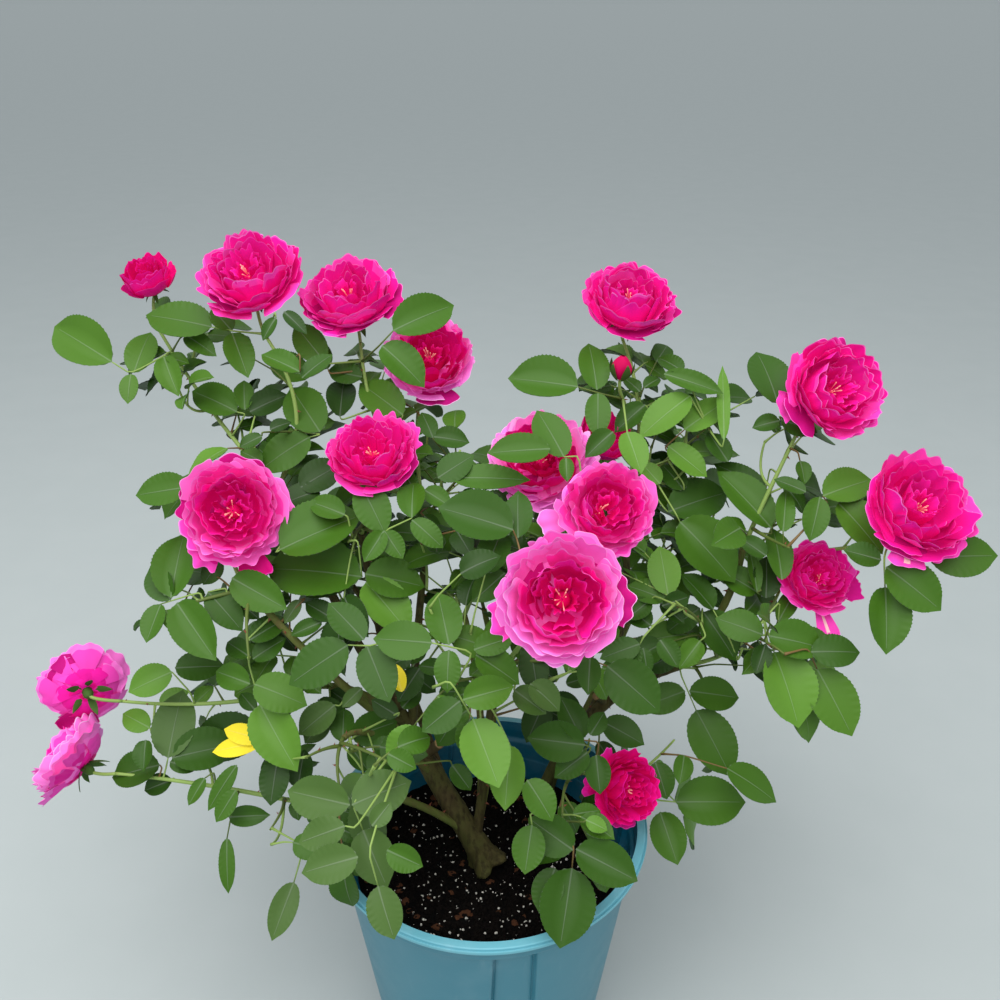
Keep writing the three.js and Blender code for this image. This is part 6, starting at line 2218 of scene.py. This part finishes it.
def pot_plastic(name, colour, deeper, roughness):
    """Moulded satin plastic: faint flow marks, dust and fine scuffs."""
    finish = Finish(name, roughness, PLASTIC_SPECULAR)
    dust, scuff = finish.grain("dust"), finish.grain("scuff")
    clean = finish.blend(finish.grain("flow"), deeper, colour)
    dusty = finish.blend(dust * DUST_SHOWS, clean, lighter(colour, DUST_PALER))
    finish.set("Base Color", finish.blend(scuff * SCUFF_SHOWS, dusty, lighter(colour, SCUFF_PALER)))
    finish.set("Roughness", dust * DUST_ROUGHER + (scuff * SCUFF_ROUGHER + roughness))
    finish.bump(finish.grain("pitting"), *PITTING_BUMP)
    return finish.material


def mix_finish(name, dark, brown):
    """Moist potting mix: near black, with brown fibres."""
    finish = Finish(name, *SURFACES["mix"])
    grain = finish.grain("mix")
    finish.set("Base Color", finish.blend(finish.grain("fibre") * grain, dark, brown))
    finish.set("Roughness", 1.0 - grain * MIX_SMOOTHER)
    finish.bump(grain, *MIX_BUMP)
    return finish.material


def bark_finish(name, colour, dark, moss, scale):
    """Bark with grey-brown streaks, dark cracks and a green cast."""
    finish = Finish(name, *SURFACES["bark"])
    streak, crack = finish.grain("streak", scale), finish.grain("crack", scale)
    base = finish.blend(streak, dark, colour)
    base = finish.blend(finish.grain("cast") * CAST_SHOWS, base, moss)
    finish.set("Base Color", finish.blend(crack * CRACK_SHOWS, base, dark))
    finish.set("Roughness", BARK_ROUGHEST - streak * STREAK_SMOOTHER)
    finish.bump(streak - crack * CRACK_SHOWS, *BARK_BUMP)
    return finish.material


def stone_finish(name, colour, shade):
    finish = Finish(name, *SURFACES["stone"])
    grain = finish.grain("stone")
    finish.set("Base Color", finish.blend(grain, shade, colour))
    finish.bump(grain, *STONE_BUMP)
    return finish.material


# What a user would change

def colour_property(name, description, default):
    own = dict(name=name, description=description, default=linear(default)[:3])
    return bpy.props.FloatVectorProperty(subtype="COLOR", size=3, min=0, max=1, **own)


class RosePotSettings(bpy.types.PropertyGroup):
    """The pot and its mix."""

    plastic: colour_property("Plastic", "Colour of the moulded pot", (64, 134, 152))
    plastic_deep: colour_property("Plastic, deeper", "Colour of its thicker flow marks", (50, 116, 136))
    # The inner wall's colour is darker and deeper than the outer wall's: partly the plastic's own tone,
    # partly painted shade for the shade inside the pot
    inside: colour_property("Inside", "Colour of the pot's inner wall", (8, 102, 130))
    # The rim's colour is lighter than the wall as a painted highlight, for the light that falls on its top
    # from above
    rim: colour_property("Rim", "Sun-faded colour of the rim", (104, 176, 192))
    roughness: bpy.props.FloatProperty(
        name="Roughness", description="How satin the plastic is",
        default=0.42, min=0.05, max=1, subtype="FACTOR")
    mix: colour_property("Potting mix", "Colour of the moist mix", (7, 6, 6))
    crumbs: bpy.props.IntProperty(
        name="Crumbs", description="Loose crumbs on the mix", default=5200, min=0, max=9000)
    perlite: bpy.props.IntProperty(
        name="Perlite", description="White perlite grains on the mix", default=760, min=0, max=3000)
    chips: bpy.props.IntProperty(
        name="Bark chips", description="Chips of bark on the mix", default=70, min=0, max=1000)


class RoseCaneSettings(bpy.types.PropertyGroup):
    """Trunk, boughs and shoots."""

    bark: colour_property("Bark", "Colour of old wood", (104, 92, 56))
    bark_dark: colour_property("Bark cracks", "Colour in the cracks of old wood", (44, 34, 20))
    moss: colour_property("Green cast", "Green cast on old wood", (84, 94, 40))
    cane: colour_property("Young cane", "Colour of green boughs", (94, 116, 46))
    shoot: colour_property("Shoot", "Colour of shoots and leaf stalks", (138, 166, 84))
    prickle: colour_property("Prickle", "Colour of prickles", (132, 72, 52))
    prickle_every: bpy.props.FloatProperty(
        name="Prickle spacing", description="Millimetres along a cane from one prickle to the next",
        default=17, min=5, max=200)


class RoseLeafSettings(bpy.types.PropertyGroup):
    """Tints that are dealt out to the leaves."""

    deep: colour_property("Deep green", "Old leaves in the crown", (36, 68, 10))
    dark: colour_property("Dark green", "Leaves low and inside", (47, 84, 13))
    mid: colour_property("Mid green", "Most leaves", (60, 100, 19))
    fresh: colour_property("Fresh green", "Leaves near the top", (71, 112, 26))
    light: colour_property("Light green", "Young leaves", (88, 132, 40))
    greyish: colour_property("Grey green", "Dull leaves low on the left", (72, 102, 44))
    yellow: colour_property("Yellow", "A spent leaf", (246, 226, 50))


class RosePetalSettings(bpy.types.PropertyGroup):
    """Tints of the petals."""

    # Wine and crimson, at the petals' feet and in the heart, are partly the bloom's deeper colour, partly
    # painted shade in its folds; lavender and lilac, on edges and rims, are partly painted highlight
    wine: colour_property("Wine", "Deepest folds of the heart", (188, 2, 78))
    crimson: colour_property("Crimson", "Heart of a bloom", (216, 4, 104))
    cerise: colour_property("Cerise", "Foot of most petals", (230, 10, 132))
    hot: colour_property("Hot pink", "Most petals", (238, 26, 158))
    bright: colour_property("Bright pink", "Border of hot petals", (245, 70, 186))
    pink: colour_property("Pink", "Border of soft petals", (246, 116, 208))
    lavender: colour_property("Lavender", "Border of aged petals", (246, 138, 222))
    lilac: colour_property("Lilac", "Pale rims", (250, 180, 236))
    plum: colour_property("Plum", "Backs of outer petals", (190, 16, 122))
    cream: colour_property("Cream", "Foot of outer petals", (250, 206, 206))
    stamen: colour_property("Stamens", "Stamens in the heart", (252, 168, 160))
    sepal: colour_property("Sepals", "Sepals and hip", (66, 96, 40))


class RoseStageSettings(bpy.types.PropertyGroup):
    """Floor and light."""

    floor: colour_property("Floor", "Colour of the floor", (176, 184, 184))
    sky: bpy.props.FloatProperty(
        name="Sky", description="Strength of the light all round", default=0.7, min=0, max=10)
    lamp: bpy.props.FloatProperty(
        name="Lamp", description="Power of the soft lamp",
        default=75, min=0, max=2000, subtype="POWER", unit="POWER")


# Operators

class ROSE_OT_pot(bpy.types.Operator):
    """Moulded pot with its stepped rim and four flutes"""

    bl_idname = "rose.pot"
    bl_label = "Pot"

    def execute(self, context):
        settings = context.scene.rose_pot
        skin = Skin()
        outer, inner = pot_profiles()
        heights = np.array([row[1] for row in outer])
        # The rim band's faces, which take the rim's lighter colour: a painted highlight for the light from
        # above
        lit = np.minimum(heights[1:], heights[:-1]) > POT_HEIGHT - POT_LIP
        skin.add(*turned(outer), np.tile(np.repeat(lit * PAINTED_LIT_RIM, POT_SIDES), 2))
        # The inner wall, in its own finish, whose darker colour is partly painted shade
        skin.add(*turned(inner), SHADED_INSIDE)
        inside, rim, rough = rgba(settings.inside), rgba(settings.rim), settings.roughness
        materials = [
            pot_plastic("pot_plastic", rgba(settings.plastic), rgba(settings.plastic_deep), rough),
            pot_plastic("pot_inside", inside, inside, rough),
            pot_plastic("pot_rim", rim, rim, rough),
        ]
        skin.piece("pot_moulded", materials, "pot_plastic", ["pot"])
        return {"FINISHED"}


class ROSE_OT_soil(bpy.types.Operator):
    """Potting mix with crumbs, perlite and chips of bark"""

    bl_idname = "rose.soil"
    bl_label = "Potting mix"

    def execute(self, context):
        settings = context.scene.rose_pot
        dice = np.random.default_rng(SEEDS["soil"])
        skin = Skin()
        skin.add(*soil_surface(), 0)
        moist = mix_finish("potting_mix", rgba(settings.mix), linear(FIBRE_BROWN))
        skin.piece("potting_mix", [moist], "potting_mix", ["soil"])
        for kind, (sizes, flatness, colour, shade) in LUMPS.items():
            lumps = scatter(getattr(settings, kind), sizes, flatness, dice)
            skin = Skin()
            skin.add(lumps, repeat_faces(LUMP_FACES, len(lumps), len(LUMP_PLACES)), 0)
            finish = stone_finish("mix_" + kind, linear(colour), linear(shade))
            skin.piece("mix_" + kind, [finish], "potting_mix", [], smooth=False)
        return {"FINISHED"}


class ROSE_OT_canes(bpy.types.Operator):
    """Trunk, stem and boughs with their bark, stubs and prickles"""

    bl_idname = "rose.canes"
    bl_label = "Canes"

    def execute(self, context):
        settings = context.scene.rose_canes
        paths = grown()["paths"]
        dice = np.random.default_rng(SEEDS["canes"])
        bark, cane = rgba(settings.bark), rgba(settings.cane)
        materials = [
            bark_finish("bark", bark, rgba(settings.bark_dark), rgba(settings.moss), OLD_BARK_SCALE),
            bark_finish("young_bark", cane, bark, cane, YOUNG_BARK_SCALE),
            plain("cut_wood", linear(CUT_WOOD_BROWN), "cut wood"),
            plain("prickle", rgba(settings.prickle), "prickle"),
        ]
        for kind, name, slot in ((OLD_BARK, "old_canes", "bark"), (YOUNG_BARK, "green_canes", "green_stem")):
            skin = Skin()
            old = kind == OLD_BARK
            limbs = {one: limb for one, limb in LIMBS.items() if (limb["radii"][0] > BARK_FROM_RADIUS) == old}
            for one, limb in limbs.items():
                add_limb(skin, limb, paths[one], kind, dice)
                if one != "trunk":
                    radius = partial(limb_radius, limb)
                    add_prickles(skin, paths[one], radius, settings.prickle_every, PRICKLE, dice)
            for row in STUBS if old else ():
                add_stub(skin, paths, row, OLD_BARK, dice)
            skin.piece(name, materials, slot, limbs)
        return {"FINISHED"}


class ROSE_OT_shoots(bpy.types.Operator):
    """Shoots, side shoots and leaf stalks"""

    bl_idname = "rose.shoots"
    bl_label = "Shoots"

    def execute(self, context):
        settings = context.scene.rose_canes
        bush = grown()
        dice = np.random.default_rng(SEEDS["shoots"])
        materials = [
            plain("shoot_green", rgba(settings.shoot), "shoot"),
            plain("shoot_olive", linear(OLIVE), "dull shoot"),
            plain("shoot_russet", linear(RUSSET), "shoot"),
            plain("shoot_prickle", rgba(settings.prickle), "prickle"),
        ]
        skin = Skin()
        starts = [one["path"](0.0) for one in bush["shoots"] + bush["sprigs"]]
        roots = np.array([leaf["root"] for leaf in bush["leaves"]] + starts)
        every = settings.prickle_every * SHOOT_PRICKLES_APART
        for shoot in bush["shoots"]:
            if "bloom" in shoot:
                path, radii, kind = shoot["path"], FLOWERING_RADII, GREEN_SHOOT
            else:
                path, radii, kind = used_part(shoot["path"], roots), LEAFY_RADII, OLIVE_SHOOT
            skin.add(*shoot_tube(path, radii), kind)
            add_prickles(skin, path, lambda t: SHOOT_RADIUS, every, PRICKLE, dice)
        for sprig in bush["sprigs"]:
            skin.add(*shoot_tube(sprig["path"], SPRIG_RADII, SPRIG_SIDES), GREEN_SHOOT)
        for leaf in bush["leaves"]:
            skin.add(*leaf_stalk(leaf), dice.choice(LEAF_STALK_FINISHES))
        skin.piece("shoots", materials, "green_stem", [])
        return {"FINISHED"}


class ROSE_OT_leaves(bpy.types.Operator):
    """Leaflets of every mass, with a tint for each spray"""

    bl_idname = "rose.leaves"
    bl_label = "Leaves"

    def execute(self, context):
        settings = context.scene.rose_leaves
        materials = []
        for tint in TINTS:
            colour = rgba(getattr(settings, tint))
            materials.append(plain("leaf_" + tint, colour, "leaf"))
            materials.append(plain("rib_" + tint, lighter(colour, RIB_PALER), "rib"))
            materials.append(plain("back_" + tint, lighter(colour, BACK_PALER), "back"))
        dice = np.random.default_rng(SEEDS["leaves"])
        for mass in MASSES:
            leaves = [leaf for leaf in grown()["leaves"] if leaf["mass"] == mass]
            leaflets, tints = [], []
            for leaf in leaves:
                shares = TINT_SHARES["shown"] if "calm" in leaf["leaflets"][0] else tint_shares(mass)
                tint = dice.choice(len(TINTS), p=np.array(shares) / sum(shares))
                leaflets += leaf["leaflets"]
                tones = [leaflet.get("tone") for leaflet in leaf["leaflets"]]
                tints += [TINTS.index(tone) if tone else tint for tone in tones]
            skin = Skin()
            add_leaflets(skin, leaflets, tints, dice)
            skin.piece(mass + "_foliage", materials, "leaf", [mass])
        return {"FINISHED"}


class ROSE_OT_blooms(bpy.types.Operator):
    """Blooms with ruffled petals, sepals, stamens and stalks"""

    bl_idname = "rose.blooms"
    bl_label = "Blooms"

    def execute(self, context):
        settings = context.scene.rose_petals
        materials = []
        for name in PETAL_TINTS + OTHER_FINISHES:
            # Every finish of a bloom but the sepals takes the painted glow; the stalk takes none
            passes = 0.0 if name == "sepal" else PAINTED_PETAL_GLOW
            materials.append(plain("petal_" + name, rgba(getattr(settings, name)), "petal", passes))
        materials.append(plain("bloom_stalk", rgba(context.scene.rose_canes.shoot), "shoot"))
        dice = np.random.default_rng(SEEDS["blooms"])
        for shoot in grown()["shoots"]:
            if "bloom" not in shoot:
                continue
            bloom = BLOOMS[shoot["bloom"]]
            skin = Skin()
            add_stalk(skin, shoot)
            if bloom.get("closed"):
                add_bud(skin, bloom)
            else:
                add_petals(skin, bloom, dice)
                add_sepals(skin, bloom, dice)
                add_stamens(skin, bloom, dice)
            skin.piece(shoot["bloom"] + "_rose", materials, "petal", [shoot["bloom"]])
        return {"FINISHED"}


# The floor in metres: half its width, and how far back and how high its rows are
FLOOR_HALF = 3000.0
FLOOR_ROWS = ((-3000.0, 0.0), (300.0, 0.0), (3000.0, 120.0))
SKY_COLOUR = (0.93, 0.97, 1.0, 1)
# The lamp: its size and place in metres, its colour, and how it is turned in degrees
LAMP_SIZE = 2.6
LAMP_AT = (-0.3, -0.9, 2.6)
LAMP_COLOUR = (1.0, 0.99, 0.97)
LAMP_TURNS = (24, 0, -12)
CAMERA_LENS = 36
CAMERA_SENSOR = 36


class ROSE_OT_stage(bpy.types.Operator):
    """Pale floor, soft light and the camera"""

    bl_idname = "rose.stage"
    bl_label = "Stage"

    def execute(self, context):
        settings = context.scene.rose_stage
        scene = context.scene
        floor = bpy.data.meshes.new("floor")
        places = [(side * FLOOR_HALF, y, z) for y, z in FLOOR_ROWS for side in (-1, 1)]
        floor.from_pydata(places, [], [(0, 1, 3, 2), (2, 3, 5, 4)])
        finish = Finish("floor", *SURFACES["floor"])
        colour = rgba(settings.floor)
        finish.set("Base Color", finish.blend(finish.grain("floor"), lighter(colour, FLOOR_PALER), colour))
        floor.materials.append(finish.material)
        floor_object = in_scene("floor", floor)
        floor_object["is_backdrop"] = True
        world = bpy.data.worlds.new("soft_sky")
        world.use_nodes = True
        background = world.node_tree.nodes["Background"].inputs
        background["Color"].default_value = SKY_COLOUR
        background["Strength"].default_value = settings.sky
        scene.world = world
        lamp = bpy.data.lights.new("soft_lamp", "AREA")
        lamp.energy = settings.lamp
        lamp.size = LAMP_SIZE
        lamp.color = LAMP_COLOUR
        lamp_object = in_scene("soft_lamp", lamp)
        lamp_object.location = LAMP_AT
        lamp_object.rotation_euler = [math.radians(turn) for turn in LAMP_TURNS]
        camera = bpy.data.cameras.new("camera")
        camera.lens = CAMERA_LENS
        camera.sensor_width = CAMERA_SENSOR
        scene.camera = in_scene("camera", camera)
        scene.camera.location = VIEWED_FROM * MM
        scene.camera.rotation_euler = (math.pi / 2 - VIEW_PITCH, 0, 0)
        scene.view_settings.view_transform = "Standard"
        return {"FINISHED"}


STEPS = (
    ROSE_OT_pot, ROSE_OT_soil, ROSE_OT_canes, ROSE_OT_shoots, ROSE_OT_leaves, ROSE_OT_blooms, ROSE_OT_stage,
)


class ROSE_PT_panel(bpy.types.Panel):
    """Lists the steps of the rose bush"""

    bl_idname = "ROSE_PT_panel"
    bl_label = "Rose Bush"
    bl_space_type = "VIEW_3D"
    bl_region_type = "UI"
    bl_category = "Rose Bush"

    def draw(self, context):
        for name in SETTINGS:
            box = self.layout.box()
            group = getattr(context.scene, name)
            for key in group.bl_rna.properties.keys():
                if key not in ("rna_type", "name"):
                    box.prop(group, key)
        for step in STEPS:
            self.layout.operator(step.bl_idname)


SETTINGS = {
    "rose_pot": RosePotSettings,
    "rose_canes": RoseCaneSettings,
    "rose_leaves": RoseLeafSettings,
    "rose_petals": RosePetalSettings,
    "rose_stage": RoseStageSettings,
}


def register():
    for group in SETTINGS.values():
        bpy.utils.register_class(group)
    for name, group in SETTINGS.items():
        setattr(bpy.types.Scene, name, bpy.props.PointerProperty(type=group))
    for step in (*STEPS, ROSE_PT_panel):
        bpy.utils.register_class(step)


def unregister():
    for step in (ROSE_PT_panel, *reversed(STEPS)):
        bpy.utils.unregister_class(step)
    for name in SETTINGS:
        delattr(bpy.types.Scene, name)
    for group in reversed(SETTINGS.values()):
        bpy.utils.unregister_class(group)


def main():
    register()
    bpy.ops.rose.pot()
    bpy.ops.rose.soil()
    bpy.ops.rose.canes()
    bpy.ops.rose.shoots()
    bpy.ops.rose.leaves()
    bpy.ops.rose.blooms()
    bpy.ops.rose.stage()
    boxes = {"cad": CAD_BOX, "visual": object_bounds()}
    sizes = {name: [list(map(float, corner)) for corner in box] for name, box in boxes.items()}


if __name__ == "__main__":
    main()
